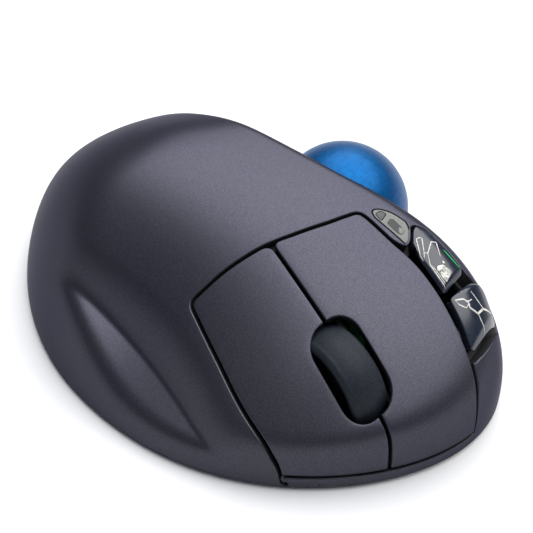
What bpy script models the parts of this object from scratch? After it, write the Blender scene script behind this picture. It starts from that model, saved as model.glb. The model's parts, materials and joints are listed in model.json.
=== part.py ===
"""Thumb-operated wireless trackball mouse for the right hand, as separate pieces.

Frame: +X to the user's right, +Y forward to the button end, +Z up. The origin is on the table under
the middle of the case. Sizes below are in millimetres and become metres where a mesh is made.
"""

import math

import bmesh
import bpy
import numpy as np
from mathutils import Matrix, Vector

MM = 0.001

# ---------------------------------------------------------------- driving sizes, mm
RIM_Z = 1.6  # lower edge of the case above the table
WALL = 2.2  # case wall, measured straight down
RIM_WALL = 2.4  # case wall at the rim, measured level
CENTRE = (2.0, -5.0)  # middle of the plan outline
GROOVE = 0.7  # gap round the two main buttons
SEAM = 0.3  # gap between fixed neighbours

BALL = (-30.2, 8.7, 24.8)
BALL_R = 17.0
COAT_INNER_R = 15.7
CORE_R = 14.8
CUP_INNER_R = 17.5
CUP_OUTER_R = 19.5
BALL_HOLE_R = 17.8
EJECT_R = 6.0
BEARING_R = 1.25
BEARING_REACH = 18.3
SENSOR_AXIS = (0.9, 0.0, -0.436)

SPLIT_X = 1.6  # seam between the two main buttons
WHEEL = (1.4, 49.3, 16.0)
WHEEL_LEAN = math.radians(6)  # the wheel leans to the right with the slope of the case
WHEEL_R = 12.4
WHEEL_HALF = 4.6
WHEEL_ROOM = 0.7  # clearance cut from the buttons round the wheel
SLOT_X = 1.9
SLOT_HALF = 5.8
SLOT_CORNER = 4.5
SLOT_Y = (43.2, 63.3)
WELL_GAP = 2.3  # room above the wheel's well for the pressed buttons
APRON_Z = 4.0  # top of the strip of case below the buttons
BUTTON_LOW_Z = 4.9

LEFT_PIVOT = (-10.0, 25.0, 36.5)
RIGHT_PIVOT = (12.0, 21.5, 32.0)
LEFT_SWITCH = (-17.5, 52.0)
RIGHT_SWITCH = (14.5, 44.6)
KEY_LIFT = 0.8
KEY_SWITCHES = {"back": (-28.5, 43.5), "forward": (-29.0, 55.5)}

BASE_INSET = 4.4
BASE_Z = (0.8, 2.4)
BATTERY = (14.0, -26.65, 11.2)
BATTERY_R = 7.25
BATTERY_LENGTH = 50.5
DOOR_X = (-10.0, 21.7)
DOOR_Y = (-54.6, 0.0)
BOARD_Z = (5.0, 6.2)
SIDE_BOARD_Z = (12.0, 13.2)
CASE_SCREWS = ((-36.0, 38.0), (29.0, 34.0), (-23.0, -37.0), (34.0, -26.0))
BOARD_SCREWS = ((17.5, 15.0), (-19.5, 40.0))
SHANK_R = 1.2
POWER = (-25.6, -24.0)
FEET = ((-30.0, 54.0), (6.0, 57.0), (35.0, 6.0), (-17.5, -48.5), (27.0, -46.0))


# ---------------------------------------------------------------- the case surface
def periodic(values):
    """Smooth closed curve through values spaced evenly round a full turn."""
    values = np.asarray(values, float)
    count = len(values)
    matrix = 4 * np.eye(count) + np.roll(np.eye(count), 1, 0) + np.roll(np.eye(count), -1, 0)
    slopes = np.linalg.solve(matrix, 3 * (np.roll(values, -1) - np.roll(values, 1)))

    def curve(angle):
        turn = (np.asarray(angle, float) % (2 * np.pi)) * count / (2 * np.pi)
        i = np.floor(turn).astype(int) % count
        j = (i + 1) % count
        u = turn - np.floor(turn)
        ends = (2 * u**3 - 3 * u**2 + 1) * values[i] + (3 * u**2 - 2 * u**3) * values[j]
        return ends + (u**3 - 2 * u**2 + u) * slopes[i] + (u**3 - u**2) * slopes[j]

    return curve


def natural(stations, values):
    """Natural cubic spline through the values at the stations, held level past both ends."""
    x = np.asarray(stations, float)
    v = np.asarray(values, float)
    h = np.diff(x)
    matrix = np.eye(len(x))
    right = np.zeros(len(x))
    for i in range(1, len(x) - 1):
        matrix[i, i - 1 : i + 2] = h[i - 1], 2 * (h[i - 1] + h[i]), h[i]
        right[i] = 6 * ((v[i + 1] - v[i]) / h[i] - (v[i] - v[i - 1]) / h[i - 1])
    bend = np.linalg.solve(matrix, right)

    def curve(at):
        at = np.clip(np.asarray(at, float), x[0], x[-1])
        i = np.clip(np.searchsorted(x, at) - 1, 0, len(h) - 1)
        after = x[i + 1] - at
        before = at - x[i]
        cubic = (bend[i] * after**3 + bend[i + 1] * before**3) / (6 * h[i])
        line = (v[i] / h[i] - bend[i] * h[i] / 6) * after
        return cubic + line + (v[i + 1] / h[i] - bend[i + 1] * h[i] / 6) * before

    return curve


def soft_min(a, b, blend):
    near = np.clip(1 - np.abs(a - b) / blend, 0, 1)
    return np.minimum(a, b) - near**3 * blend / 6


def soft_max(a, b, blend):
    return -soft_min(-a, -b, blend)


# Plan outline: distance from CENTRE every 30 degrees, starting at +X.
outline = periodic([45.9, 49.5, 59.6, 73.2, 79.0, 57.5, 49.6, 47.0, 55.0, 66.9, 57.5, 48.2])
# How full the flank is, and how broadly it blends into the top, at the same angles.
flank_power = periodic([1.4, 1.35, 1.6, 2.2, 2.0, 1.6, 1.5, 1.5, 1.5, 1.5, 1.45, 1.4])
flank_blend = periodic([8, 7, 7, 10, 14, 10, 10, 14, 22, 26, 22, 14])
FLANK_HEIGHT = 60.0
# The blend is one breadth at the middle, and is the above at this share of the way out.
MIDDLE_BLEND = 10.0
MIDDLE_SHARE = 0.4
# Sections across the mouse at these places along Y.
STATIONS = (-75, -45, -20, 0, 20, 35, 45, 55, 65, 75)
ridge_x = natural(STATIONS, [-2, -5, -10, -16.5, -24.5, -31, -33.5, -33.5, -31, -29])
ridge_z = natural(STATIONS, [14, 35, 44.5, 43.6, 40.5, 36.6, 33, 28, 21.5, 14])
side_x = natural(STATIONS, [40, 38, 34, 28, 23.5, 23.5, 24, 23, 21, 20])
side_drop = natural(STATIONS, [8, 9, 11, 12.5, 14, 15.5, 16, 16, 15, 13])
right_floor = natural(STATIONS, [10, 22, 24, 20, 13, 9, 7, 6, 5, 5])
left_floor = natural(STATIONS, [8, 12, 12, 11, 11, 12, 12, 11, 9, 8])
# The hollow for the ring finger: how far its floor falls outward, and how softly it starts.
floor_fall = natural(STATIONS, [0, 0, 0, 0.12, 0.34, 0.38, 0.36, 0.3, 0.2, 0.1])
floor_blend = natural(STATIONS, [8, 8, 8, 4, 2, 1.6, 1.6, 2.5, 4, 6])
FLOOR_X = 34.0
LEFT_SLOPE = 1.6
LEFT_ROLL = 5.0
CROWN_POWER = 2.4
SIDE_FALL = 0.10
LEFT_BLEND = 8.0


def top_z(x, y):
    """Height of the crowned top, the scooped thumb wall and the hollow for the ring finger."""
    ridge = ridge_x(y)
    side = side_x(y)
    across = np.maximum(x - ridge, 0) / (side - ridge)
    left = np.maximum(ridge - x, 0)
    crown = ridge_z(y) - side_drop(y) * across**CROWN_POWER
    crown = crown - SIDE_FALL * np.maximum(x - side - 1.5, 0) ** 2
    crown = crown - LEFT_SLOPE * (np.sqrt(left**2 + LEFT_ROLL**2) - LEFT_ROLL)
    share = np.clip((x - ridge) / (side - ridge), 0, 1)
    share = share * share * (3 - 2 * share)
    right = right_floor(y) - floor_fall(y) * (x - FLOOR_X)
    blend = LEFT_BLEND * (1 - share) + floor_blend(y) * share
    return soft_max(crown, left_floor(y) * (1 - share) + right * share, blend)


def case_z(x, y):
    """Height of the outside of the case over a point of the plan."""
    angle = np.arctan2(y - CENTRE[1], x - CENTRE[0])
    reach = np.minimum(np.hypot(x - CENTRE[0], y - CENTRE[1]) / outline(angle), 1)
    power = flank_power(angle)
    flank = FLANK_HEIGHT * np.maximum(1 - reach**power, 0) ** (1 / power)
    grown = np.minimum(reach / MIDDLE_SHARE, 1)
    grown = grown * grown * (3 - 2 * grown)
    blend = MIDDLE_BLEND + (flank_blend(angle) - MIDDLE_BLEND) * grown
    return RIM_Z + np.maximum(soft_min(top_z(x, y) - RIM_Z, flank, blend), 0)


def surface_z(x, y):
    return float(case_z(np.array(float(x)), np.array(float(y))))


# ---------------------------------------------------------------- collections and materials
def clear_scene():
    for obj in list(bpy.data.objects):
        bpy.data.objects.remove(obj, do_unlink=True)


def new_collection(name):
    collection = bpy.data.collections.new(name)
    bpy.context.scene.collection.children.link(collection)
    return collection


def principled(name, colour, roughness, metallic=0.0):
    material = bpy.data.materials.new(name)
    material.use_nodes = True
    shader = material.node_tree.nodes["Principled BSDF"]
    shader.inputs["Base Color"].default_value = (*colour, 1.0)
    shader.inputs["Roughness"].default_value = roughness
    shader.inputs["Metallic"].default_value = metallic
    material.diffuse_color = (*colour, 1.0)
    return material


clear_scene()
PARTS = new_collection("trackball_mouse")
CUTTERS = new_collection("cutters")

CHARCOAL = principled("case_charcoal", (0.055, 0.055, 0.062), 0.45)
BLACK = principled("inner_black", (0.012, 0.012, 0.013), 0.6)
KEY_NAVY = principled("key_navy", (0.012, 0.016, 0.026), 0.2)
WARM_GREY = principled("indicator_grey", (0.36, 0.37, 0.33), 0.5)
SMOKE = principled("indicator_smoke", (0.05, 0.05, 0.05), 0.15)
CLEAR = principled("clear_plastic", (0.8, 0.85, 0.85), 0.1)
PEARL_BLUE = principled("ball_blue", (0.0, 0.18, 0.47), 0.15)
CORE_BLUE = principled("ball_core_blue", (0.0, 0.14, 0.4), 0.3)
WHEEL_RUBBER = principled("wheel_rubber", (0.017, 0.023, 0.026), 0.55)
BOARD_GREEN = principled("board_green", (0.02, 0.14, 0.06), 0.5)
SWITCH_WHITE = principled("switch_white", (0.75, 0.75, 0.72), 0.4)
STEEL = principled("bright_steel", (0.6, 0.6, 0.6), 0.3, 1.0)
CERAMIC = principled("bearing_white", (0.85, 0.85, 0.83), 0.15)
GLIDE = principled("glide_grey", (0.25, 0.26, 0.27), 0.4)
BATTERY_SKIN = principled("battery_skin", (0.08, 0.25, 0.12), 0.35)
LABEL = principled("label_silver", (0.5, 0.5, 0.5), 0.4)


# ---------------------------------------------------------------- building blocks
def add_box(bm, low, high):
    size = [(b - a) * MM for a, b in zip(low, high)]
    middle = [(a + b) * MM / 2 for a, b in zip(low, high)]
    matrix = Matrix.Translation(middle) @ Matrix.Diagonal((*size, 1))
    bmesh.ops.create_cube(bm, size=1, matrix=matrix)


def add_rod(bm, start, end, radius, sides=16):
    start = Vector(start) * MM
    end = Vector(end) * MM
    turn = Vector((0, 0, 1)).rotation_difference(end - start).to_matrix().to_4x4()
    bmesh.ops.create_cone(
        bm,
        cap_ends=True,
        segments=sides,
        radius1=radius * MM,
        radius2=radius * MM,
        depth=(end - start).length,
        matrix=Matrix.Translation((start + end) / 2) @ turn,
    )


def add_sphere(bm, centre, radius, around, rings):
    matrix = Matrix.Translation(Vector(centre) * MM)
    bmesh.ops.create_uvsphere(bm, u_segments=around, v_segments=rings, radius=radius * MM, matrix=matrix)


def add_prism(bm, points, low, high):
    """Upright prism on a plan outline."""
    bottom = [bm.verts.new((x * MM, y * MM, low * MM)) for x, y in points]
    face = bm.faces.new(bottom)
    grown = bmesh.ops.extrude_face_region(bm, geom=[face], use_keep_orig=True)
    top = [v for v in grown["geom"] if isinstance(v, bmesh.types.BMVert)]
    bmesh.ops.translate(bm, verts=top, vec=(0, 0, (high - low) * MM))


def add_dome(bm, rows, spokes, inset, drop):
    """The case surface as a closed solid of flat triangles, moved in by inset and down by drop."""
    angles = np.arange(spokes) * 2 * np.pi / spokes
    middle = bm.verts.new((CENTRE[0] * MM, CENTRE[1] * MM, (surface_z(*CENTRE) - drop) * MM))
    inner = None
    for row in range(1, rows + 1):
        reach = math.sin(row / rows * math.pi / 2)
        x = CENTRE[0] + reach * outline(angles) * np.cos(angles)
        y = CENTRE[1] + reach * outline(angles) * np.sin(angles)
        z = case_z(x, y) - drop if row < rows else np.full(spokes, RIM_Z - drop)
        shrink = 1 - inset / outline(angles)
        px = CENTRE[0] + (x - CENTRE[0]) * shrink
        py = CENTRE[1] + (y - CENTRE[1]) * shrink
        ring = [bm.verts.new((a * MM, b * MM, c * MM)) for a, b, c in zip(px, py, z)]
        for i in range(spokes):
            j = (i + 1) % spokes
            if inner is None:
                bm.faces.new((middle, ring[i], ring[j]))
            else:
                bm.faces.new((inner[i], ring[i], ring[j], inner[j]))
        inner = ring
    bm.faces.new(inner[::-1])
    bmesh.ops.triangulate(bm, faces=bm.faces)


def finish(name, bm, collection, material=None, pivot=(0, 0, 0)):
    """Turns a bmesh into a named object whose origin is at pivot."""
    bmesh.ops.recalc_face_normals(bm, faces=bm.faces)
    origin = Vector(pivot) * MM
    bmesh.ops.translate(bm, verts=bm.verts, vec=-origin)
    mesh = bpy.data.meshes.new(name)
    bm.to_mesh(mesh)
    bm.free()
    obj = bpy.data.objects.new(name, mesh)
    obj.location = origin
    collection.objects.link(obj)
    if material:
        mesh.materials.append(material)
    else:
        obj.hide_render = True
        obj.display_type = "WIRE"
    return obj


def part(name, material, *shapes, pivot=(0, 0, 0)):
    """A sub-part from shapes that stand clear of each other; each shape is (function, arguments...)."""
    return finish(name, gathered(shapes), PARTS, material, pivot)


def cutter(name, *shapes):
    return finish(name, gathered(shapes), CUTTERS)


def gathered(shapes):
    bm = bmesh.new()
    for make, *arguments in shapes:
        make(bm, *arguments)
    return bm


def combine(obj, other, operation):
    modifier = obj.modifiers.new(other.name, "BOOLEAN")
    modifier.operation = operation
    modifier.solver = "EXACT"
    modifier.object = other
    return obj


def cut(obj, other):
    return combine(obj, other, "DIFFERENCE")


def join(obj, other):
    return combine(obj, other, "UNION")


def keep(obj, other):
    return combine(obj, other, "INTERSECT")


def inset(points, amount):
    """A plan outline, listed anticlockwise, moved in by amount along every edge."""
    moved = []
    count = len(points)
    for i in range(count):
        before = Vector(points[i]) - Vector(points[i - 1])
        after = Vector(points[(i + 1) % count]) - Vector(points[i])
        normal_a = Vector((-before.y, before.x)).normalized()
        normal_b = Vector((-after.y, after.x)).normalized()
        middle = (normal_a + normal_b).normalized()
        reach = amount / max(middle.dot(normal_a), 0.3)
        moved.append(tuple(Vector(points[i]) + middle * reach))
    return moved


def round_slot(x, low, high, half, corner, steps=5):
    """Slot outline along Y, a rectangle with round corners, listed anticlockwise."""
    points = []
    middles = (
        (x + half - corner, high - corner),
        (x - half + corner, high - corner),
        (x - half + corner, low + corner),
        (x + half - corner, low + corner),
    )
    for quarter, (mx, my) in enumerate(middles):
        for k in range(steps + 1):
            angle = math.pi / 2 * (quarter + k / steps)
            points.append((mx + corner * math.cos(angle), my + corner * math.sin(angle)))
    return points


def rim_outline(amount, spokes=60):
    """The case's plan outline, moved in by amount."""
    points = []
    for k in range(spokes):
        angle = 2 * math.pi * k / spokes
        reach = float(outline(angle)) - amount
        points.append((CENTRE[0] + reach * math.cos(angle), CENTRE[1] + reach * math.sin(angle)))
    return points


def seat_direction(tilt, turn):
    """A direction from the ball's middle: tilt off the seat's axis, turn round it, in degrees."""
    axis = Vector((0.75, 0.0, -0.66)).normalized()
    up = Vector((0.66, 0.0, 0.75)).normalized()
    along = axis.cross(up)
    turned = up * math.cos(math.radians(turn)) + along * math.sin(math.radians(turn))
    return axis * math.cos(math.radians(tilt)) + turned * math.sin(math.radians(tilt))


def from_ball(direction, reach):
    return tuple(Vector(BALL) + Vector(direction).normalized() * reach)


# ---------------------------------------------------------------- outlines on the plan
BUTTON_WINDOW = [
    (21.4, 20.2), (22.4, 21.2), (22.8, 25.0), (23.6, 34.0), (24.6, 44.0), (24.0, 52.0), (22.4, 58.0),
    (22.2, 80.0), (-21.2, 80.0), (-21.4, 70.0), (-23.0, 64.8), (-24.2, 58.0), (-24.6, 52.6),
    (-24.6, 48.0), (-24.1, 42.3), (-22.5, 36.5), (-21.2, 28.8), (-20.6, 26.9), (-19.2, 26.0),
    (-8.0, 23.9), (1.5, 21.8), (11.0, 20.6),
]
KEY_WINDOW = [
    (-23.0, 65.3), (-29.0, 63.7), (-33.5, 61.6), (-37.2, 59.3), (-37.8, 55.5), (-36.2, 51.4),
    (-34.5, 50.2), (-34.0, 47.5), (-33.3, 42.2), (-32.1, 36.9), (-29.9, 34.9), (-28.2, 35.5),
    (-25.0, 38.6), (-23.0, 42.0),
]
BACK_KEY = [
    (-24.7, 51.8), (-33.5, 48.8), (-32.7, 42.3), (-31.5, 37.6), (-29.8, 35.8), (-28.4, 36.4),
    (-25.8, 39.4), (-24.7, 42.6),
]
FORWARD_KEY = [
    (-23.9, 63.3), (-36.4, 58.6), (-37.1, 55.6), (-34.9, 52.6), (-32.6, 51.6), (-24.8, 53.2),
    (-24.7, 57.5),
]
INDICATOR = [
    (-24.4, 38.8), (-25.8, 38.2), (-28.0, 35.8), (-28.8, 33.7), (-27.2, 29.9), (-25.2, 28.0),
    (-23.8, 27.4), (-22.7, 27.8), (-22.4, 29.6), (-23.8, 35.8),
]
INDICATOR_WINDOW = [(-23.1, 28.7), (-23.3, 31.1), (-25.9, 29.9), (-24.9, 28.6)]
MAIN_BOARD = [
    (-22.0, 12.0), (20.0, 12.0), (20.0, 50.0), (7.5, 50.0), (7.5, 36.0), (-5.6, 36.0), (-5.6, 62.0),
    (-22.0, 62.0),
]

OUTER_DOME = (add_dome, 18, 56, 0, 0)
INNER_DOME = (add_dome, 11, 36, RIM_WALL, WALL)
SKY = 60.0


# ---------------------------------------------------------------- case, buttons and keys
def case_blank(name, material, posts, lift=0.0, pivot=(0, 0, 0)):
    """The whole hollow case, with posts left standing inside it; later cuts pick one piece of it."""
    hollow = cutter(name + "_hollow", INNER_DOME)
    hollow.location.z += lift * MM
    if posts:
        cut(hollow, cutter(name + "_posts", *posts))
    blank = part(name, material, OUTER_DOME, pivot=pivot)
    blank.location.z += lift * MM
    return cut(blank, hollow)


def post(x, y, low, radius):
    return (add_rod, (x, y, low), (x, y, SKY), radius)


def top_shell():
    bosses = [post(x, y, 5.4, 3.2) for x, y in CASE_SCREWS]
    shell = case_blank("top_shell", CHARCOAL, bosses)
    openings = [("button_opening", BUTTON_WINDOW, APRON_Z), ("key_opening", KEY_WINDOW, 14.0)]
    openings.append(("indicator_opening", INDICATOR, 25.0))
    for name, points, low in openings:
        cut(shell, cutter(name, (add_prism, points, low, SKY)))
    cut(shell, cutter("ball_opening", (add_sphere, BALL, BALL_HOLE_R, 30, 18)))
    holes = [(add_rod, (x, y, 0), (x, y, surface_z(x, y) - 4), 1.5, 12) for x, y in CASE_SCREWS]
    cut(shell, cutter("boss_holes", *holes))


def main_buttons():
    panel = inset(BUTTON_WINDOW, GROOVE)
    slot = cutter("wheel_slot", (add_prism, round_slot(SLOT_X, *SLOT_Y, SLOT_HALF, SLOT_CORNER), 0, SKY))
    reach = WHEEL_HALF + WHEEL_ROOM
    room = cutter("wheel_room", (add_rod, off_wheel(-reach), off_wheel(reach), WHEEL_R + WHEEL_ROOM, 36))
    leaned(room)
    half = GROOVE / 2
    sides = (
        ("left_button", LEFT_PIVOT, LEFT_SWITCH, (SPLIT_X - half, 90)),
        ("right_button", RIGHT_PIVOT, RIGHT_SWITCH, (-90, SPLIT_X + half)),
    )
    for name, pivot, switch, (low, high) in sides:
        button = case_blank(name, CHARCOAL, [post(*switch, 14.1, 2.0)], pivot=pivot)
        keep(button, cutter(name + "_outline", (add_prism, panel, BUTTON_LOW_Z, SKY)))
        cut(button, cutter(name + "_far_side", (add_box, (low, 0, 0), (high, 90, SKY + 1))))
        cut(button, slot)
        cut(button, room)


def side_keys():
    for name, points in (("back", BACK_KEY), ("forward", FORWARD_KEY)):
        x, y = KEY_SWITCHES[name]
        key = case_blank(name + "_button", KEY_NAVY, [post(x, y, 18.3, 1.6)], lift=KEY_LIFT)
        keep(key, cutter(name + "_key_outline", (add_prism, points, 15, SKY)))


def indicator():
    plate = case_blank("indicator_plate", WARM_GREY, [])
    keep(plate, cutter("indicator_outline", (add_prism, inset(INDICATOR, SEAM), 25, SKY)))
    window = (add_prism, INDICATOR_WINDOW, 20, SKY + 1)
    cut(plate, cutter("indicator_window", window))
    lens = case_blank("indicator_lens", SMOKE, [])
    small = inset(INDICATOR_WINDOW, 0.25)
    keep(lens, cutter("indicator_lens_outline", (add_prism, small, 25, SKY)))
    x, y = -24.1, 29.8
    part("light_pipe", CLEAR, (add_rod, (x, y, 15.3), (x, y, 34.4), 1.0, 12))
    part("indicator_led", CLEAR, (add_box, (x - 0.8, y - 0.8, 13.5), (x + 0.8, y + 0.8, 14.9)))


# ---------------------------------------------------------------- base, door and feet
def base():
    slab = part("base", BLACK, (add_prism, rim_outline(BASE_INSET), *BASE_Z))
    bay = (add_box, (-10.9, -55.8, 2.0), (22.9, 1.2, 8.0))
    bosses = [(add_rod, (x, y, 2.0), (x, y, 5.0), 4.0) for x, y in CASE_SCREWS]
    posts = [(add_rod, (x, y, 2.0), (x, y, 4.7), 2.4) for x, y in BOARD_SCREWS]
    stands = [(add_rod, (x, y, 2.0), (x, y, 11.7), 2.0) for x, y in ((-28.0, 31.5), (-26.5, 59.0))]
    collar = (add_rod, (*BALL[:2], 2.0), (*BALL[:2], 6.0), 8.0, 32)
    join(slab, cutter("base_uprights", bay, collar, *bosses, *posts, *stands))

    door = (add_box, (DOOR_X[0], DOOR_Y[0], 0), (DOOR_X[1], DOOR_Y[1], 2.7))
    eject = (add_rod, (*BALL[:2], 0), (*BALL[:2], 8), EJECT_R, 24)
    knob = (add_box, (POWER[0] - 2.1, POWER[1] - 1.8, 0), (POWER[0] + 5.1, POWER[1] + 1.8, 4))
    sinks = [(add_rod, (x, y, 0), (x, y, 3.3), 2.8) for x, y in CASE_SCREWS]
    pockets = [(add_rod, (x, y, 0), (x, y, 1.3), 4.3, 24) for x, y in FEET]
    label = (add_box, (-16, 16, 0), (14, 40, 1.2))
    cut(slab, cutter("base_openings", door, eject, knob, label, *sinks, *pockets))

    battery = (add_box, (6.3, DOOR_Y[0], 2.5), (DOOR_X[1], DOOR_Y[1], 14))
    receiver = (add_box, (-9.7, -53.4, 2.5), (4.9, -32.4, 11))
    spare = (add_box, (-9.7, -30.8, 3.9), (4.9, 0, 14))
    screws = [(add_rod, (x, y, 0), (x, y, 6), 1.6, 12) for x, y in CASE_SCREWS]
    blind = [(add_rod, (x, y, 2.7), (x, y, 6), 1.6, 12) for x, y in BOARD_SCREWS]
    cut(slab, cutter("base_bays", battery, receiver, spare, *screws, *blind))


def battery_door():
    low = (DOOR_X[0] + SEAM, DOOR_Y[0] + SEAM, BASE_Z[0])
    high = (DOOR_X[1] - SEAM, DOOR_Y[1] - SEAM, 2.2)
    door = part("battery_door", BLACK, (add_box, low, high))
    ribs = [(add_box, (9, y, 2.0), (19, y + 1.2, 3.6)) for y in (-44, -12)]
    join(door, cutter("door_ribs", *ribs))
    grips = [(add_box, (0, y, 0), (12, y + 0.8, 1.2)) for y in (-8, -6.4, -4.8)]
    cut(door, cutter("door_grips", *grips))


def feet_and_label():
    shared = None
    for number, (x, y) in enumerate(FEET, 1):
        name = f"glide_foot_{number}"
        if shared is None:
            foot = part(name, GLIDE, (add_rod, (0, 0, 0), (0, 0, 1.0), 4.0, 24))
            shared = foot.data
        else:
            foot = bpy.data.objects.new(name, shared)
            PARTS.objects.link(foot)
        foot.location = (x * MM, y * MM, 0)
    part("rating_label", LABEL, (add_box, (-15.6, 16.4, 0.82), (13.6, 39.6, 0.9)))


def screws():
    """Case screws from below and board screws from above: a head and a shank turned as one."""
    kinds = (
        ("case_screw", CASE_SCREWS, 2.9, 2.4, -1.5, 8.0),
        ("board_screw", BOARD_SCREWS, 6.5, 2.2, 1.4, -3.0),
    )
    for kind, places, seat, head_r, head_z, tip_z in kinds:
        profile = [(0, head_z), (head_r, head_z), (head_r, 0), (SHANK_R, 0), (SHANK_R, tip_z)]
        shared = None
        for number, (x, y) in enumerate(places, 1):
            name = f"{kind}_{number}"
            if shared is None:
                screw = turned(name, STEEL, profile)
                shared = screw.data
            else:
                screw = bpy.data.objects.new(name, shared)
                PARTS.objects.link(screw)
            screw.location = (x * MM, y * MM, seat * MM)


def turned(name, material, profile, sides=16):
    """A solid turned about Z from (radius, height) points that start on the axis."""
    bm = bmesh.new()
    points = [*profile, (0, profile[-1][1])]
    verts = [bm.verts.new((r * MM, 0, z * MM)) for r, z in points]
    edges = [bm.edges.new(pair) for pair in zip(verts, verts[1:])]
    bmesh.ops.spin(
        bm,
        geom=verts + edges,
        angle=2 * math.pi,
        steps=sides,
        axis=(0, 0, 1),
        cent=(0, 0, 0),
        use_merge=True,
    )
    bmesh.ops.remove_doubles(bm, verts=bm.verts, dist=1e-6)
    return finish(name, bm, PARTS, material)


# ---------------------------------------------------------------- ball and its seat
def trackball():
    part("trackball_core", CORE_BLUE, (add_sphere, BALL, CORE_R, 16, 8), pivot=BALL)
    coat = part("trackball_coat", PEARL_BLUE, (add_sphere, BALL, BALL_R, 32, 16), pivot=BALL)
    cut(coat, cutter("coat_hollow", (add_sphere, BALL, COAT_INNER_R, 16, 8)))
    x, y, z = BALL
    cut(coat, cutter("coat_gate", (add_rod, (x, y, z + 14), (x, y, z + 20), 0.25, 6)))


def ball_seat():
    cup = part("ball_socket", BLACK, (add_sphere, BALL, CUP_OUTER_R, 26, 13))
    under = cutter("under_case", INNER_DOME)
    under.location = (0.4 * MM, 0, -0.4 * MM)
    keep(cup, under)
    cut(cup, cutter("ball_space", (add_sphere, BALL, CUP_INNER_R + 0.1, 26, 13)))
    places = [seat_direction(58, turn) for turn in (0, 120, 240)]
    holes = [(add_rod, from_ball(place, 16), from_ball(place, 21), 1.5, 12) for place in places]
    sensor = (add_rod, from_ball(SENSOR_AXIS, 15), from_ball(SENSOR_AXIS, 21), 2.4)
    eject = (add_rod, (*BALL[:2], 3), (*BALL[:2], 12), EJECT_R, 24)
    cut(cup, cutter("socket_holes", sensor, eject, *holes))
    for number, place in enumerate(places, 1):
        centre = from_ball(place, BEARING_REACH)
        part(f"bearing_ball_{number}", CERAMIC, (add_sphere, centre, BEARING_R, 12, 8))


def sensor_stack():
    """Lens, optical sensor and its board, stacked outward from the ball along the sensor's axis."""
    away = Vector(SENSOR_AXIS).normalized()
    turn = Vector((0, 0, 1)).rotation_difference(away).to_matrix().to_4x4()
    lens = part("sensor_lens", CLEAR, (add_rod, (0, 0, 19.9), (0, 0, 21.2), 2.6, 16))
    chip = part("optical_sensor", BLACK, (add_box, (-4, -4, 21.5), (4, 4, 24.2)))
    board = part("sensor_board", BOARD_GREEN, (add_box, (-6, -6.8, 24.5), (6, 6.8, 25.6)))
    for piece in (lens, chip, board):
        piece.matrix_world = Matrix.Translation(Vector(BALL) * MM) @ turn


# ---------------------------------------------------------------- scroll wheel
def off_wheel(across, along=0.0, up=0.0):
    """A point measured from the wheel's middle, before the wheel leans."""
    return (WHEEL[0] + across, WHEEL[1] + along, WHEEL[2] + up)


def leaned(obj):
    """Turns a piece of the wheel unit with the wheel, about the line along Y through its middle."""
    middle = Matrix.Translation(Vector(WHEEL) * MM)
    obj.matrix_world = middle @ Matrix.Rotation(WHEEL_LEAN, 4, "Y") @ middle.inverted() @ obj.matrix_basis
    return obj


def turned_wheel(name, material, profile, sides):
    """A ring turned about the wheel's axle from (radius, side) points, closed on itself."""
    bm = bmesh.new()
    rings = []
    for k in range(sides):
        angle = 2 * math.pi * k / sides
        ring = []
        for radius, side in profile:
            y = WHEEL[1] + radius * math.cos(angle)
            z = WHEEL[2] + radius * math.sin(angle)
            ring.append(bm.verts.new(((WHEEL[0] + side) * MM, y * MM, z * MM)))
        rings.append(ring)
    count = len(profile)
    for k in range(sides):
        for i in range(count):
            j = (i + 1) % count
            bm.faces.new((rings[k - 1][i], rings[k][i], rings[k][j], rings[k - 1][j]))
    return finish(name, bm, PARTS, material, WHEEL)


def scroll_wheel():
    edge = WHEEL_HALF
    tyre = [(WHEEL_R - 1.9, -edge), (WHEEL_R - 1.5, -edge), (WHEEL_R - 0.5, -edge + 0.9), (WHEEL_R, -1.4)]
    tyre = tyre + [(radius, -side) for radius, side in reversed(tyre)]
    leaned(turned_wheel("wheel_tyre", WHEEL_RUBBER, tyre, 36))
    disc = (add_rod, off_wheel(-3.9), off_wheel(3.9), WHEEL_R - 2.3, 28)
    hub = leaned(part("wheel_hub", BLACK, disc, pivot=WHEEL))
    join(hub, leaned(cutter("wheel_axle", (add_rod, off_wheel(-9.9), off_wheel(8.7), 1.5, 12))))


def wheel_carrier():
    """Yoke that holds the axle on both sides and rests on a spring and a click switch."""
    bar = (add_box, (-12.0, 33.6, 11.2), (16.6, 35.9, 14.9))
    carrier = part("wheel_carrier", BLACK, bar, pivot=(WHEEL[0], 34.8, 11.2))
    arms = cutter("carrier_arms", (add_box, off_wheel(-8.2, -16.1, -4.8), off_wheel(7.6, 2.3, 0.6)))
    gap = (add_box, off_wheel(-6.7, -13.4, -10), off_wheel(6.3, 10, 10))
    cut(arms, leaned(cutter("carrier_gap", gap)))
    join(carrier, leaned(arms))
    cut(carrier, leaned(cutter("carrier_bearings", (add_rod, off_wheel(-20), off_wheel(20), 1.58, 12))))


def wheel_well():
    """Walls beside the wheel that close off the slot from the inside, joined by a low bar ahead of it."""
    walls = (add_box, off_wheel(-6, -8.8, -9.4), off_wheel(6, 12.4, 24))
    well = leaned(part("wheel_well", BLACK, walls, pivot=WHEEL))
    under = cutter("under_buttons", INNER_DOME)
    under.location.z -= WELL_GAP * MM
    keep(well, under)
    inside = (add_box, off_wheel(-5, -16, -14), off_wheel(5, 11.1, 30))
    cut(well, leaned(cutter("well_inside", inside)))
    cut(well, leaned(cutter("well_front", (add_box, off_wheel(-5, 5, -7.6), off_wheel(5, 20, 30)))))
    cut(well, leaned(cutter("well_axle_slot", (add_box, off_wheel(-10, -1.8, -2.2), off_wheel(10, 1.8, 30)))))


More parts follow.
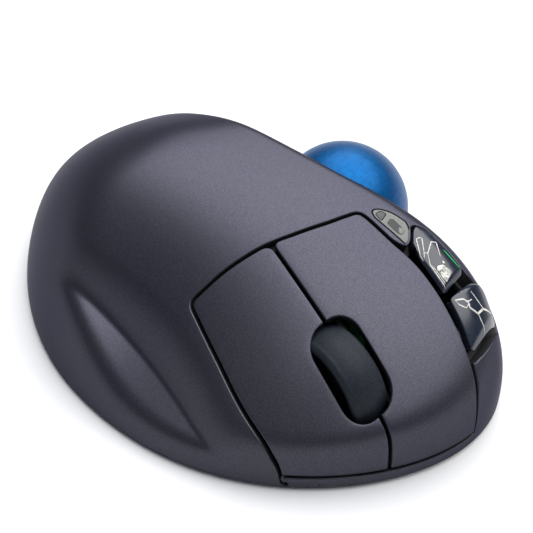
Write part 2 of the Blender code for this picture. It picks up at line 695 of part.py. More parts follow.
def carrier_spring():
    x, y = -9.6, 34.8
    low, high, radius, wire = 6.9, 10.3, 1.5, 0.3
    turns, per_turn = 3, 10
    curve = bpy.data.curves.new("carrier_spring", "CURVE")
    curve.dimensions = "3D"
    curve.bevel_depth = wire * MM
    curve.bevel_resolution = 1
    curve.use_fill_caps = True
    spline = curve.splines.new("POLY")
    steps = turns * per_turn
    spline.points.add(steps)
    for k, point in enumerate(spline.points):
        angle = 2 * math.pi * k / per_turn
        height = low + (high - low) * k / steps
        spot = (x + radius * math.cos(angle), y + radius * math.sin(angle), height)
        point.co = (*(value * MM for value in spot), 1.0)
    curve.materials.append(STEEL)
    PARTS.objects.link(bpy.data.objects.new("carrier_spring", curve))


# ---------------------------------------------------------------- boards and switches
def main_board():
    board = part("main_board", BOARD_GREEN, (add_prism, MAIN_BOARD, *BOARD_Z))
    holes = [(add_rod, (x, y, 3), (x, y, 8), 1.5, 12) for x, y in BOARD_SCREWS]
    cut(board, cutter("board_holes", *holes))
    part("radio_chip", BLACK, (add_box, (1.5, 20, 6.5), (8.5, 27, 7.5)))
    part("capacitor", STEEL, (add_rod, (-12, 22, 6.5), (-12, 22, 13), 2.5, 16))
    low = (-32.4, 28.4, SIDE_BOARD_Z[0])
    part("side_board", BOARD_GREEN, (add_box, low, (-22.9, 60.0, SIDE_BOARD_Z[1])))
    part("scroll_encoder", BLACK, (add_box, (-12.6, 45.0, 6.5), (-9.0, 55.4, 20.4)))


def micro_switches():
    """Long-bodied switches under the two main buttons, each with a sprung plunger."""
    for side, (x, y) in (("left", LEFT_SWITCH), ("right", RIGHT_SWITCH)):
        body = part(side + "_switch", BLACK, (add_box, (x - 2.9, y - 6.4, 6.5), (x + 2.9, y + 6.4, 13)))
        well = (add_box, (x - 0.9, y - 1.6, 11.5), (x + 0.9, y + 1.6, 15))
        cut(body, cutter(side + "_switch_well", well))
        stem = (add_box, (x - 0.6, y - 1.3, 11.9), (x + 0.6, y + 1.3, 13.7))
        part(side + "_plunger", SWITCH_WHITE, stem, pivot=(x, y, 13.7))


def tact_switches():
    """Square switches with round stems under the side keys and the wheel's yoke."""
    places = (
        ("back", *KEY_SWITCHES["back"], 13.5),
        ("forward", *KEY_SWITCHES["forward"], 13.5),
        ("wheel_click", 13.5, 34.8, 6.5),
    )
    for name, x, y, z in places:
        tall = 3.4 if name == "wheel_click" else 3.5
        body = part(name + "_switch", BLACK, (add_box, (x - 3, y - 3, z), (x + 3, y + 3, z + tall)))
        cut(body, cutter(name + "_switch_bore", (add_rod, (x, y, z + 1.2), (x, y, z + 6), 1.7, 12)))
        stem = (add_rod, (x, y, z + 1.7), (x, y, z + tall + 0.9), 1.4, 12)
        part(name + "_stem", SWITCH_WHITE, stem, pivot=(x, y, z + tall))


def power_switch():
    x, y = POWER
    body = part("power_switch", BLACK, (add_box, (x - 5, y - 5, 4.0), (x + 8, y + 5, 7.5)))
    legs = [(add_box, (x - 5, y + d, 2.7), (x + 8, y + d + 1.2, 4.6)) for d in (-5, 3.8)]
    join(body, cutter("power_switch_legs", *legs))
    knob = (add_box, (x - 1.8, y - 1.5, 0.5), (x + 1.8, y + 1.5, 3.4))
    slider = part("power_slider", KEY_NAVY, knob, pivot=(x, y, 0.8))
    join(slider, cutter("slider_plate", (add_box, (x - 4.6, y - 3, 2.75), (x + 4.6, y + 3, 3.6))))


# ---------------------------------------------------------------- power
def battery():
    x, y, z = BATTERY
    rear = y - BATTERY_LENGTH / 2
    front = y + BATTERY_LENGTH / 2
    part("battery_cell", BATTERY_SKIN, (add_rod, (x, rear + 0.3, z), (x, front - 1.6, z), BATTERY_R, 24))
    part("battery_cap", STEEL, (add_rod, (x, front - 1.3, z), (x, front, z), 2.75, 16))
    part("battery_contact", STEEL, (add_box, (x - 5, -1.0, 5), (x + 5, -0.5, 16)))
    spring = part("battery_spring", STEEL, (add_rod, (x, -54.2, z), (x, -53.5, z), 4.0, 16))
    join(spring, cutter("battery_spring_tip", (add_rod, (x, -53.8, z), (x, -52.2, z), 2.4, 16)))


def receiver():
    """The stowed wireless receiver: a hollow metal plug and its plastic cap with the contact tongue."""
    plug = part("receiver_plug", STEEL, (add_box, (-8.4, -52.2, 3.8), (3.6, -39.6, 8.2)))
    cut(plug, cutter("plug_hollow", (add_box, (-8.0, -55, 4.2), (3.2, -35, 7.8))))
    cap = part("receiver_cap", BLACK, (add_box, (-9.4, -39.2, 3.0), (4.6, -33.2, 9.0)))
    tongue = (add_box, (-7.7, -51.4, 4.5), (2.9, -38.0, 6.2))
    join(cap, cutter("receiver_tongue", tongue))


top_shell()
main_buttons()
side_keys()
indicator()
base()
battery_door()
feet_and_label()
screws()
trackball()
ball_seat()
sensor_stack()
scroll_wheel()
wheel_carrier()
wheel_well()
carrier_spring()
main_board()
micro_switches()
tact_switches()
power_switch()
battery()
receiver()

for piece in PARTS.objects:
    if piece.type == "MESH":
        piece.data.shade_smooth()
        piece.data.set_sharp_from_angle(angle=math.radians(35))
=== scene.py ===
"""Trackball mouse: fine surfaces, materials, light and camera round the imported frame.

Sizes in the functions below are in millimetres, in the frame's own axes, and become metres in a mesh.
"""

import json
import math

import bmesh
import bpy
import numpy as np
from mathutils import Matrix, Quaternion, Vector, kdtree
from mathutils.geometry import delaunay_2d_cdt


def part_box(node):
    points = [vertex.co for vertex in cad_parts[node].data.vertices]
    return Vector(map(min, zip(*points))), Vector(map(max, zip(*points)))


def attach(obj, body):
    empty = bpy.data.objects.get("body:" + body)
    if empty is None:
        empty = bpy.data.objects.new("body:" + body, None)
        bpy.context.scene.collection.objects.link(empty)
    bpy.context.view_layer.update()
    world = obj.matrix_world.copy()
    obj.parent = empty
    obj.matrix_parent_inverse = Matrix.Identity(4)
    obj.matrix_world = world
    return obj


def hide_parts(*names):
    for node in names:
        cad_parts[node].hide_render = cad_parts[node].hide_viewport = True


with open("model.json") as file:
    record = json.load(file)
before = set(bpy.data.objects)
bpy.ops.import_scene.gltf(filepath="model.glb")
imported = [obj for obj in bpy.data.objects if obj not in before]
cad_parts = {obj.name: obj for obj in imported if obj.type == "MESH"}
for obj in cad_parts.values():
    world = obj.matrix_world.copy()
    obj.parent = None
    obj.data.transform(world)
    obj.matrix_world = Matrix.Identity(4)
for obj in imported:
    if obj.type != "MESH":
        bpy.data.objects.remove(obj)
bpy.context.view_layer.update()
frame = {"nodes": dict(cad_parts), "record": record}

MM = 0.001

# ---------------- sizes shared with the frame, mm
RIM_Z = 1.6
CENTRE = np.array([2.0, -5.0])
GROOVE = 0.7
SEAM = 0.3
BALL = np.array([-30.2, 8.7, 24.8])
BALL_R = 17.0
BALL_HOLE_R = 17.8
SPLIT_X = 1.6
WHEEL = np.array([1.4, 49.3, 16.0])
WHEEL_LEAN = math.radians(6)
WHEEL_R = 12.4
WHEEL_HALF = 4.6
WHEEL_ROOM = 0.6
AXLE = np.array([math.cos(WHEEL_LEAN), 0, -math.sin(WHEEL_LEAN)])
SLOT_X = 1.9
SLOT_HALF = 5.8
SLOT_CORNER = 5.0
SLOT_Y = (43.2, 63.3)
APRON_Z = 4.0
BUTTON_LOW_Z = 4.9

# ---------------- finer sizes of the visible surface, mm
WALL = 2.0
LEAST_WALL = 0.7
EDGE_R = 0.35
FINE_EDGE_R = 0.12
LENS_EDGE_R = 0.08
BALL_EDGE_R = 0.8
EDGE_STEPS = 5
LEDGE_DEPTH = 3.1
LEDGE_REACH = 1.5
LEDGE_WALL = 0.9
LEDGE_ROOT = 0.3
RIM_EDGE_R = 0.4
RIM_LIP = 4.0
RIM_LIP_HEIGHT = 1.0
RIM_INNER_STEP = 0.4
SEAT_WIDTH = 1.6
KEY_EDGE_R = 0.3
KEY_WALL = 2.2
# Points along an outline stand this far apart.
LOOP_STEP = 0.45
FINE_STEP = 0.3
FINER_STEP = 0.25
FINEST_STEP = 0.2
# Spacing of the nets that fill a surface, as a share of the disc's radius.
CASE_NET = 0.0105
KEY_NET = 0.0045
SMALL_NET = 0.005


# ---------------- the case surface
def periodic(values):
    """Smooth closed curve through values spaced evenly round a full turn."""
    values = np.asarray(values, float)
    count = len(values)
    matrix = 4 * np.eye(count) + np.roll(np.eye(count), 1, 0) + np.roll(np.eye(count), -1, 0)
    slopes = np.linalg.solve(matrix, 3 * (np.roll(values, -1) - np.roll(values, 1)))

    def curve(angle):
        turn = (np.asarray(angle, float) % (2 * np.pi)) * count / (2 * np.pi)
        i = np.floor(turn).astype(int) % count
        j = (i + 1) % count
        u = turn - np.floor(turn)
        ends = (2 * u**3 - 3 * u**2 + 1) * values[i] + (3 * u**2 - 2 * u**3) * values[j]
        return ends + (u**3 - 2 * u**2 + u) * slopes[i] + (u**3 - u**2) * slopes[j]

    return curve


def natural(stations, values):
    """Natural cubic spline through the values at the stations, held level past both ends."""
    x = np.asarray(stations, float)
    v = np.asarray(values, float)
    h = np.diff(x)
    matrix = np.eye(len(x))
    right = np.zeros(len(x))
    for i in range(1, len(x) - 1):
        matrix[i, i - 1 : i + 2] = h[i - 1], 2 * (h[i - 1] + h[i]), h[i]
        right[i] = 6 * ((v[i + 1] - v[i]) / h[i] - (v[i] - v[i - 1]) / h[i - 1])
    bend = np.linalg.solve(matrix, right)

    def curve(at):
        at = np.clip(np.asarray(at, float), x[0], x[-1])
        i = np.clip(np.searchsorted(x, at) - 1, 0, len(h) - 1)
        after = x[i + 1] - at
        before = at - x[i]
        cubic = (bend[i] * after**3 + bend[i + 1] * before**3) / (6 * h[i])
        line = (v[i] / h[i] - bend[i] * h[i] / 6) * after
        return cubic + line + (v[i + 1] / h[i] - bend[i + 1] * h[i] / 6) * before

    return curve


def soft_min(a, b, blend):
    near = np.clip(1 - np.abs(a - b) / blend, 0, 1)
    return np.minimum(a, b) - near**3 * blend / 6


def soft_max(a, b, blend):
    return -soft_min(-a, -b, blend)


# Plan outline: distance from CENTRE every 30 degrees, starting at +X.
outline = periodic([45.9, 49.5, 59.6, 73.2, 79.0, 57.5, 49.6, 47.0, 55.0, 66.9, 57.5, 48.2])
# How full the flank is, and how broadly it blends into the top, at the same angles.
flank_power = periodic([1.4, 1.35, 1.6, 2.2, 2.0, 1.6, 1.5, 1.5, 1.5, 1.5, 1.45, 1.4])
flank_blend = periodic([8, 7, 7, 10, 14, 10, 10, 14, 22, 26, 22, 14])
FLANK_HEIGHT = 60.0
# The blend is one breadth at the middle, and is the above at this share of the way out.
MIDDLE_BLEND = 10.0
MIDDLE_SHARE = 0.4
# Sections across the mouse at these places along Y.
STATIONS = (-75, -45, -20, 0, 20, 35, 45, 55, 65, 75)
ridge_x = natural(STATIONS, [-2, -5, -10, -16.5, -24.5, -31, -33.5, -33.5, -31, -29])
ridge_z = natural(STATIONS, [14, 35, 44.5, 43.6, 40.5, 36.6, 33, 28, 21.5, 14])
side_x = natural(STATIONS, [40, 38, 34, 28, 23.5, 23.5, 24, 23, 21, 20])
side_drop = natural(STATIONS, [8, 9, 11, 12.5, 14, 15.5, 16, 16, 15, 13])
right_floor = natural(STATIONS, [10, 22, 24, 20, 13, 9, 7, 6, 5, 5])
left_floor = natural(STATIONS, [8, 12, 12, 11, 11, 12, 12, 11, 9, 8])
# The hollow for the ring finger: how far its floor falls outward, and how softly it starts.
floor_fall = natural(STATIONS, [0, 0, 0, 0.12, 0.34, 0.38, 0.36, 0.3, 0.2, 0.1])
floor_blend = natural(STATIONS, [8, 8, 8, 4, 2, 1.6, 1.6, 2.5, 4, 6])
FLOOR_X = 34.0
LEFT_SLOPE = 1.6
LEFT_ROLL = 5.0
CROWN_POWER = 2.4
SIDE_FALL = 0.10
SIDE_START = 1.5
LEFT_BLEND = 8.0


def top_z(x, y):
    """Height of the crowned top, the scooped thumb wall and the hollow for the ring finger."""
    ridge = ridge_x(y)
    side = side_x(y)
    across = np.maximum(x - ridge, 0) / (side - ridge)
    left = np.maximum(ridge - x, 0)
    crown = ridge_z(y) - side_drop(y) * across**CROWN_POWER
    crown = crown - SIDE_FALL * np.maximum(x - side - SIDE_START, 0) ** 2
    crown = crown - LEFT_SLOPE * (np.sqrt(left**2 + LEFT_ROLL**2) - LEFT_ROLL)
    share = np.clip((x - ridge) / (side - ridge), 0, 1)
    share = share * share * (3 - 2 * share)
    right = right_floor(y) - floor_fall(y) * (x - FLOOR_X)
    blend = LEFT_BLEND * (1 - share) + floor_blend(y) * share
    return soft_max(crown, left_floor(y) * (1 - share) + right * share, blend)


def case_z(x, y):
    """Height of the outside of the case over a point of the plan."""
    angle = np.arctan2(y - CENTRE[1], x - CENTRE[0])
    reach = np.minimum(np.hypot(x - CENTRE[0], y - CENTRE[1]) / outline(angle), 1)
    power = flank_power(angle)
    flank = FLANK_HEIGHT * np.maximum(1 - reach**power, 0) ** (1 / power)
    grown = np.minimum(reach / MIDDLE_SHARE, 1)
    grown = grown * grown * (3 - 2 * grown)
    blend = MIDDLE_BLEND + (flank_blend(angle) - MIDDLE_BLEND) * grown
    return RIM_Z + np.maximum(soft_min(top_z(x, y) - RIM_Z, flank, blend), 0)


def on_case(plan):
    """Points of the case surface over points of the plan."""
    return np.column_stack([plan, case_z(plan[:, 0], plan[:, 1])])


def unit(vectors):
    return vectors / np.linalg.norm(vectors, axis=-1, keepdims=True)


SLOPE_REACH = 0.04
NEAR_RIM = 0.993
NEAR_MIDDLE = 0.01


def slope_normals(height, plan):
    """Outward normals of a surface; right at the rim they are taken a little way in."""
    away = plan - CENTRE
    share = np.hypot(*away.T) / outline(np.arctan2(away[:, 1], away[:, 0]))
    x, y = (CENTRE + away * np.minimum(1, NEAR_RIM / np.maximum(share, NEAR_MIDDLE))[:, None]).T
    along_x = (height(x + SLOPE_REACH, y) - height(x - SLOPE_REACH, y)) / (2 * SLOPE_REACH)
    along_y = (height(x, y + SLOPE_REACH) - height(x, y - SLOPE_REACH)) / (2 * SLOPE_REACH)
    return unit(np.column_stack([-along_x, -along_y, np.ones(len(plan))]))


# ---------------- the plan as a disc
def to_disc(plan):
    """Plan points as points of a unit disc whose edge is the rim, spread out where the flank is steep."""
    away = np.asarray(plan, float) - CENTRE
    angle = np.arctan2(away[:, 1], away[:, 0])
    reach = np.minimum(np.hypot(away[:, 0], away[:, 1]) / outline(angle), 1)
    radius = np.arcsin(reach) * 2 / np.pi
    return np.column_stack([radius * np.cos(angle), radius * np.sin(angle)])


def from_disc(disc):
    angle = np.arctan2(disc[:, 1], disc[:, 0])
    radius = np.minimum(np.hypot(disc[:, 0], disc[:, 1]), 1)
    reach = np.sin(radius * np.pi / 2) * outline(angle)
    return CENTRE + np.column_stack([reach * np.cos(angle), reach * np.sin(angle)])


# ---------------- outlines
SHARP_TURN = math.radians(32)
CORNER_STEPS = 10
CORNER_ROOM = 0.48
DISC_SCALE = 60
NO_LENGTH = 1e-9
LEAST_COSINE = 0.3


def rounded(points, corner):
    """A closed outline with a bend of about the given radius at each sharp corner, and flowing elsewhere."""
    points = np.asarray(points, float)
    count = len(points)
    bends = []
    share = (np.arange(CORNER_STEPS + 1) / CORNER_STEPS)[:, None]
    for i in range(count):
        before = points[i - 1] - points[i]
        after = points[(i + 1) % count] - points[i]
        before_length = np.linalg.norm(before)
        after_length = np.linalg.norm(after)
        cosine = np.dot(before, after) / (before_length * after_length)
        turn = math.pi - math.acos(max(-1.0, min(1.0, cosine)))
        room = CORNER_ROOM * min(before_length, after_length)
        reach = min(corner * math.tan(turn / 2), room) if turn > SHARP_TURN else room
        start = points[i] + before / before_length * reach
        end = points[i] + after / after_length * reach
        bends.append((1 - share) ** 2 * start + 2 * share * (1 - share) * points[i] + share**2 * end)
    return np.concatenate(bends)


def even(loop, step, closed=True):
    """The same outline with its points evenly spaced along the case surface."""
    ends = np.vstack([loop, loop[:1]]) if closed else loop
    lengths = np.linalg.norm(np.diff(on_case(ends), axis=0), axis=1)
    keep = np.concatenate([[True], lengths > NO_LENGTH])
    ends = ends[keep]
    total = np.concatenate([[0], np.cumsum(lengths[keep[1:]])])
    count = max(int(total[-1] / step), 3 if closed else 1)
    at = np.arange(count if closed else count + 1) * total[-1] / count
    return np.column_stack([np.interp(at, total, ends[:, 0]), np.interp(at, total, ends[:, 1])])


def anticlockwise(loop):
    x, y = loop.T
    area = np.sum(x * np.roll(y, -1) - y * np.roll(x, -1))
    return loop if area > 0 else loop[::-1]


def smooth_outline(points, corner, step=LOOP_STEP):
    """A plan outline with its corners rounded on the surface, anticlockwise."""
    loop = from_disc(rounded(to_disc(np.asarray(points, float)), corner / DISC_SCALE))
    return anticlockwise(even(loop, step))


def moved_in(points, amount):
    """A plan outline, listed anticlockwise, moved in by amount along every edge."""
    points = np.asarray(points, float)
    before = unit(points - np.roll(points, 1, 0))
    after = unit(np.roll(points, -1, 0) - points)
    normal_a = np.column_stack([-before[:, 1], before[:, 0]])
    normal_b = np.column_stack([-after[:, 1], after[:, 0]])
    middle = unit(normal_a + normal_b)
    return points + middle * (amount / np.maximum(np.sum(middle * normal_a, axis=1), LEAST_COSINE))[:, None]


def halved(shape, bounds, before, times):
    """Closes in from both bounds on the place up to which a test holds."""
    low, high = (np.full(shape, bound) for bound in bounds)
    for _ in range(times):
        middle = (low + high) / 2
        early = before(middle)
        low = np.where(early, middle, low)
        high = np.where(early, high, middle)
    return low, high


FRONT_Y = (45.0, 76.0)
FRONT_HALVINGS = 50
WINDOW_FRONT_STEPS = 50
SLOT_STEPS = 9
BUTTON_FRONT_STEPS = 30


def front_y(x, level):
    """Where the front of the case comes down to a level, at each x."""
    x = np.asarray(x, float)
    low, high = halved(x.shape, FRONT_Y, lambda y: case_z(x, y) > level, FRONT_HALVINGS)
    return (low + high) / 2


def front_run(start, end, level, count):
    x = np.linspace(start, end, count)
    return list(zip(x, front_y(x, level)))


def slot_half(side):
    """The wheel slot's outline on one side of the split, from its rear end to its front end."""
    split = SPLIT_X + side * GROOVE / 2
    low, high = SLOT_Y
    points = [(split, low)]
    for middle_y, first in ((low + SLOT_CORNER, -90), (high - SLOT_CORNER, 0)):
        for k in range(SLOT_STEPS + 1):
            angle = math.radians(first + 90 * k / SLOT_STEPS)
            across = SLOT_HALF - SLOT_CORNER + SLOT_CORNER * math.cos(angle)
            points.append((SLOT_X + side * across, middle_y + SLOT_CORNER * math.sin(angle)))
    points.append((split, high))
    return points


# The rear and the two sides of the opening for the buttons, from front right round to front left.
WINDOW_RIGHT = [
    (22.3, 64.0), (22.4, 58.0), (24.0, 52.0), (24.6, 44.0), (23.6, 34.0), (22.8, 25.0), (22.4, 21.2),
]
WINDOW_REAR = [(21.4, 20.2), (11.0, 20.6), (1.5, 21.8), (-8.0, 23.9), (-19.2, 26.0)]
WINDOW_LEFT = [(-20.6, 26.9), (-21.2, 28.8), (-22.5, 36.5), (-24.1, 42.3)]
WINDOW_FRONT_X = (-21.3, 22.3)
WINDOW_LEFT_FRONT = [(-24.6, 48.0), (-24.6, 52.6), (-24.2, 58.0), (-23.0, 64.8), (-21.4, 70.0)]
KEY_RECESS = [
    (-24.6, 39.4), (-28.2, 35.5), (-29.9, 34.9), (-32.1, 36.9), (-33.3, 42.2), (-34.0, 47.5), (-34.5, 50.2),
    (-36.2, 51.4), (-37.8, 55.5), (-37.2, 59.3), (-33.5, 61.6), (-29.0, 63.7), (-23.2, 65.2),
]
BACK_KEY = [
    (-24.7, 51.8), (-33.5, 48.8), (-32.7, 42.3), (-31.5, 37.6), (-29.8, 35.8), (-28.4, 36.4), (-25.8, 39.4),
    (-24.7, 42.6),
]
FORWARD_KEY = [
    (-23.9, 63.3), (-36.4, 58.6), (-37.1, 55.6), (-34.9, 52.6), (-32.6, 51.6), (-24.8, 53.2), (-24.7, 57.5),
]
INDICATOR = [
    (-24.4, 38.8), (-25.8, 38.2), (-28.0, 35.8), (-28.8, 33.7), (-27.2, 29.9), (-25.2, 28.0), (-23.8, 27.4),
    (-22.7, 27.8), (-22.4, 29.6), (-23.8, 35.8),
]
INDICATOR_WINDOW = [(-23.1, 28.7), (-23.3, 31.1), (-25.9, 29.9), (-24.9, 28.6)]


OPENING_POINTS = 150
OPENING_REACH = (0.0, 24.0)
OPENING_HALVINGS = 40


def ball_opening():
    """Where the case surface is as far from the ball's middle as the opening's radius."""
    angles = np.arange(OPENING_POINTS) * 2 * np.pi / OPENING_POINTS
    direction = np.column_stack([np.cos(angles), np.sin(angles)])

    def near(reach):
        away = on_case(BALL[:2] + direction * reach[:, None]) - BALL
        return np.linalg.norm(away, axis=1) < BALL_HOLE_R

    low, _ = halved(OPENING_POINTS, OPENING_REACH, near, OPENING_HALVINGS)
    return even(BALL[:2] + direction * low[:, None], LOOP_STEP)


# ---------------- meshes
ROW_SHARE = math.sqrt(0.75)
EDGE_SHARE = 0.6
NET_TOLERANCE = 1e-9
TINY = 1e-8


def inside(points, loops):
    """Even-odd test of points against closed loops."""
    x, y = points.T
    odd = np.zeros(len(points), bool)
    for loop in loops:
        for (ax, ay), (bx, by) in zip(loop, np.roll(loop, -1, 0)):
            crossed = (ay > y) != (by > y)
            if crossed.any():
                odd[crossed] ^= x[crossed] < (bx - ax) * (y[crossed] - ay) / (by - ay) + ax
    return odd


def net(loops, spacing):
    """Fills the region between plan loops with even triangles: (plan points, triangles)."""
    edge_plan = np.concatenate(loops)
    disc_loops = [to_disc(loop) for loop in loops]
    edge = np.concatenate(disc_loops)
    low, high = edge.min(0), edge.max(0)
    rows = np.arange(low[1], high[1], spacing * ROW_SHARE)
    columns = np.arange(low[0], high[0], spacing)
    grid = np.array([(x + (k % 2) * spacing / 2, y) for k, y in enumerate(rows) for x in columns])
    grid = grid[inside(grid, disc_loops)]
    tree = kdtree.KDTree(len(edge))
    for k, point in enumerate(edge):
        tree.insert((*point, 0), k)
    tree.balance()
    apart = np.array([tree.find((*point, 0))[2] for point in grid])
    grid = grid[apart > EDGE_SHARE * spacing]
    links = []
    first = 0
    for loop in loops:
        count = len(loop)
        links += [(first + k, first + (k + 1) % count) for k in range(count)]
        first += count
    points = [Vector(p) for p in np.concatenate([edge, grid])]
    verts, _, faces, origins, _, _ = delaunay_2d_cdt(points, links, [], 0, NET_TOLERANCE)
    disc = np.array([tuple(v) for v in verts])
    plan = from_disc(disc)
    for k, origin in enumerate(origins):
        if origin and origin[0] < len(edge):
            plan[k] = edge_plan[origin[0]]
    triangles = np.array([f for f in faces if len(f) == 3])
    return plan, triangles[inside(disc[triangles].mean(1), disc_loops)]


def add_rows(bm, rows, material=0):
    """Quads between closed rows of points that run side by side."""
    made = [[bm.verts.new(Vector(p) * MM) for p in row] for row in rows]
    count = len(rows[0])
    for a, b in zip(made, made[1:]):
        for i in range(count):
            j = (i + 1) % count
            bm.faces.new((a[i], b[i], b[j], a[j])).material_index = material


def to_object(name, bm, materials, smooth=40, weld=2e-7):
    bmesh.ops.remove_doubles(bm, verts=bm.verts, dist=weld)
    bmesh.ops.dissolve_degenerate(bm, edges=bm.edges, dist=TINY)
    bmesh.ops.recalc_face_normals(bm, faces=bm.faces)
    mesh = bpy.data.meshes.new(name)
    bm.to_mesh(mesh)
    bm.free()
    mesh.shade_smooth()
    mesh.set_sharp_from_angle(angle=math.radians(smooth))
    for material in materials:
        mesh.materials.append(material)
    obj = bpy.data.objects.new(name, mesh)
    bpy.context.scene.collection.objects.link(obj)
    return obj


def placed(obj, body, slot, *nodes):
    """The piece rides on a body and stands for these CAD nodes, which it hides; slot is not used."""
    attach(obj, body)
    if nodes:
        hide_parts(*nodes)
    return obj


def edge_frame(loop, height):
    """Points, surface normals and the directions into the material along a loop, material on its left."""
    points = np.column_stack([loop, height(*loop.T)])
    normals = slope_normals(height, loop)
    tangents = unit(np.roll(points, -1, 0) - np.roll(points, 1, 0))
    return points, normals, unit(np.cross(normals, tangents))


def straight_wall(depth):
    """A wall that goes straight in, down to a depth."""
    return lambda points, normals, inward: [points - normals * depth]


groove_wall = straight_wall(WALL)
key_wall = straight_wall(KEY_WALL)


def ledge_wall(points, normals, inward):
    """A groove's wall with a step that reaches under the neighbour."""
    lower = LEDGE_DEPTH + LEDGE_WALL
    return [
        points - normals * LEDGE_DEPTH,
        points - normals * LEDGE_DEPTH - inward * LEDGE_REACH,
        points - normals * lower - inward * LEDGE_REACH,
        points - normals * lower + inward * LEDGE_ROOT,
    ]


INTO_SEAT = unit(np.array([0.75, 0.0, -0.66]))
SEAT_SHARES = (0.0, 0.12, 0.24)


def ball_wall(points, normals, inward):
    """The opening's wall follows a sphere round the ball, into the seat."""
    directions = unit(points - normals * BALL_EDGE_R - BALL)
    rows = [BALL + unit(directions + INTO_SEAT * share) * BALL_HOLE_R for share in SEAT_SHARES]
    rows.append(BALL + unit(directions + INTO_SEAT * SEAT_SHARES[-1]) * (BALL_HOLE_R + SEAT_WIDTH))
    return rows


def rim_wall(points, normals, inward):
    """The rim's rounded lower edge, the flat lip under it and the lip's inner side."""
    level = unit(np.column_stack([inward[:, :2], np.zeros(len(points))]))
    up = np.array([0, 0, 1.0])
    rows = []
    for k in range(EDGE_STEPS + 1):
        angle = math.pi / 2 * k / EDGE_STEPS
        inset = RIM_EDGE_R * (1 - math.cos(angle))
        rows.append(points + level * inset - up * RIM_EDGE_R * math.sin(angle))
    rows.append(points + level * RIM_LIP - up * RIM_EDGE_R)
    rows.append(points + level * RIM_LIP + up * RIM_LIP_HEIGHT)
    rows.append(points + level * (WALL + RIM_INNER_STEP) + up * RIM_LIP_HEIGHT)
    return rows


def clear_of_wheel(points):
    """Moves points of a button's underside out of the room the wheel needs."""
    away = points - WHEEL
    across = (away @ AXLE)[:, None]
    outward = away - across * AXLE
    distance = np.linalg.norm(outward, axis=1, keepdims=True)
    room = WHEEL_R + WHEEL_ROOM
    near = (np.abs(across) < WHEEL_HALF + WHEEL_ROOM) & (distance < room)
    moved = np.where(near, points + outward * (room / distance - 1), points)
    highest = case_z(*moved[:, :2].T) - LEAST_WALL
    moved[:, 2] = np.where(near[:, 0], np.minimum(moved[:, 2], highest), moved[:, 2])
    return moved


def as_made(points):
    return points


def panel(name, borders, spacing, materials, height=case_z, cleared=as_made):
    """A shell piece of the case as a closed solid.

    borders holds (loop, edge radius, wall function), the outer loop anticlockwise and the holes
    clockwise. An edge radius of 0 keeps the surface up to the loop. cleared moves the walls and the
    underside away from a neighbour.
    """
    bm = bmesh.new()
    tops = []
    for loop, edge, wall in borders:
        points, normals, inward = edge_frame(loop, height)
        rows = []
        if edge:
            for k in range(EDGE_STEPS + 1):
                angle = math.pi / 2 * k / EDGE_STEPS
                plan = (points + inward * edge * (1 - math.sin(angle)))[:, :2]
                level = np.column_stack([plan, height(*plan.T)])
                rows.append(level - normals * edge * (1 - math.cos(angle)))
            top = rows[0][:, :2]
            add_rows(bm, rows)
        else:
            top = loop
            rows.append(points)
        bottom = np.column_stack([top, height(*top.T)]) - slope_normals(height, top) * WALL
        add_rows(bm, [rows[-1], *[cleared(row) for row in wall(points, normals, inward)], cleared(bottom)], 1)
        tops.append(top)
    plan, triangles = net(tops, spacing)
    surface = np.column_stack([plan, height(*plan.T)])
    lower = cleared(surface - slope_normals(height, plan) * WALL)
    for points, material, order in ((surface, 0, (0, 1, 2)), (lower, 1, (2, 1, 0))):
        made = [bm.verts.new(Vector(p) * MM) for p in points]
        for triangle in triangles:
            bm.faces.new([made[triangle[k]] for k in order]).material_index = material
    return to_object(name, bm, materials)


def lathe(bm, profile, axis, centre, sides):
    """A closed profile of (radius, along) points turned about an axis through centre."""
    turn = Vector((0, 0, 1)).rotation_difference(Vector(axis)).to_matrix()
    rings = []
    for k in range(sides):
        angle = 2 * math.pi * k / sides
        ring = []
        for radius, along in profile:
            local = Vector((radius * math.cos(angle), radius * math.sin(angle), along))
            ring.append(bm.verts.new((turn @ local + Vector(centre)) * MM))
        rings.append(ring)
    count = len(profile)
    for k in range(sides):
        for i in range(count - 1):
            corners = (rings[k - 1][i], rings[k][i], rings[k][i + 1], rings[k - 1][i + 1])
            bm.faces.new(corners)
    bmesh.ops.remove_doubles(bm, verts=bm.verts, dist=1e-7)


# ---------------- materials
def shader_graph(name):
    material = bpy.data.materials.new(name)
    material.use_nodes = True
    tree = material.node_tree
    return material, tree, tree.nodes["Principled BSDF"]


def noise(tree, scale, detail=2.0, roughness=0.5, distortion=0.0):
    node = tree.nodes.new("ShaderNodeTexNoise")
    node.inputs["Scale"].default_value = scale
    node.inputs["Detail"].default_value = detail
    node.inputs["Roughness"].default_value = roughness
    node.inputs["Distortion"].default_value = distortion
    places = tree.nodes.new("ShaderNodeTexCoord")
    tree.links.new(places.outputs["Object"], node.inputs["Vector"])
    return node.outputs["Fac"]


def ramp(tree, value, low, high, start=0.35, end=0.65):
    """Colours between low and high as a value goes from start to end."""
    node = tree.nodes.new("ShaderNodeValToRGB")
    node.color_ramp.elements[0].position = start
    node.color_ramp.elements[0].color = (*low, 1)
    node.color_ramp.elements[1].position = end
    node.color_ramp.elements[1].color = (*high, 1)
    tree.links.new(value, node.inputs["Fac"])
    return node.outputs["Color"]


def ranged(tree, value, low, high):
    node = tree.nodes.new("ShaderNodeMapRange")
    node.inputs["To Min"].default_value = low
    node.inputs["To Max"].default_value = high
    tree.links.new(value, node.inputs["Value"])
    return node.outputs["Result"]


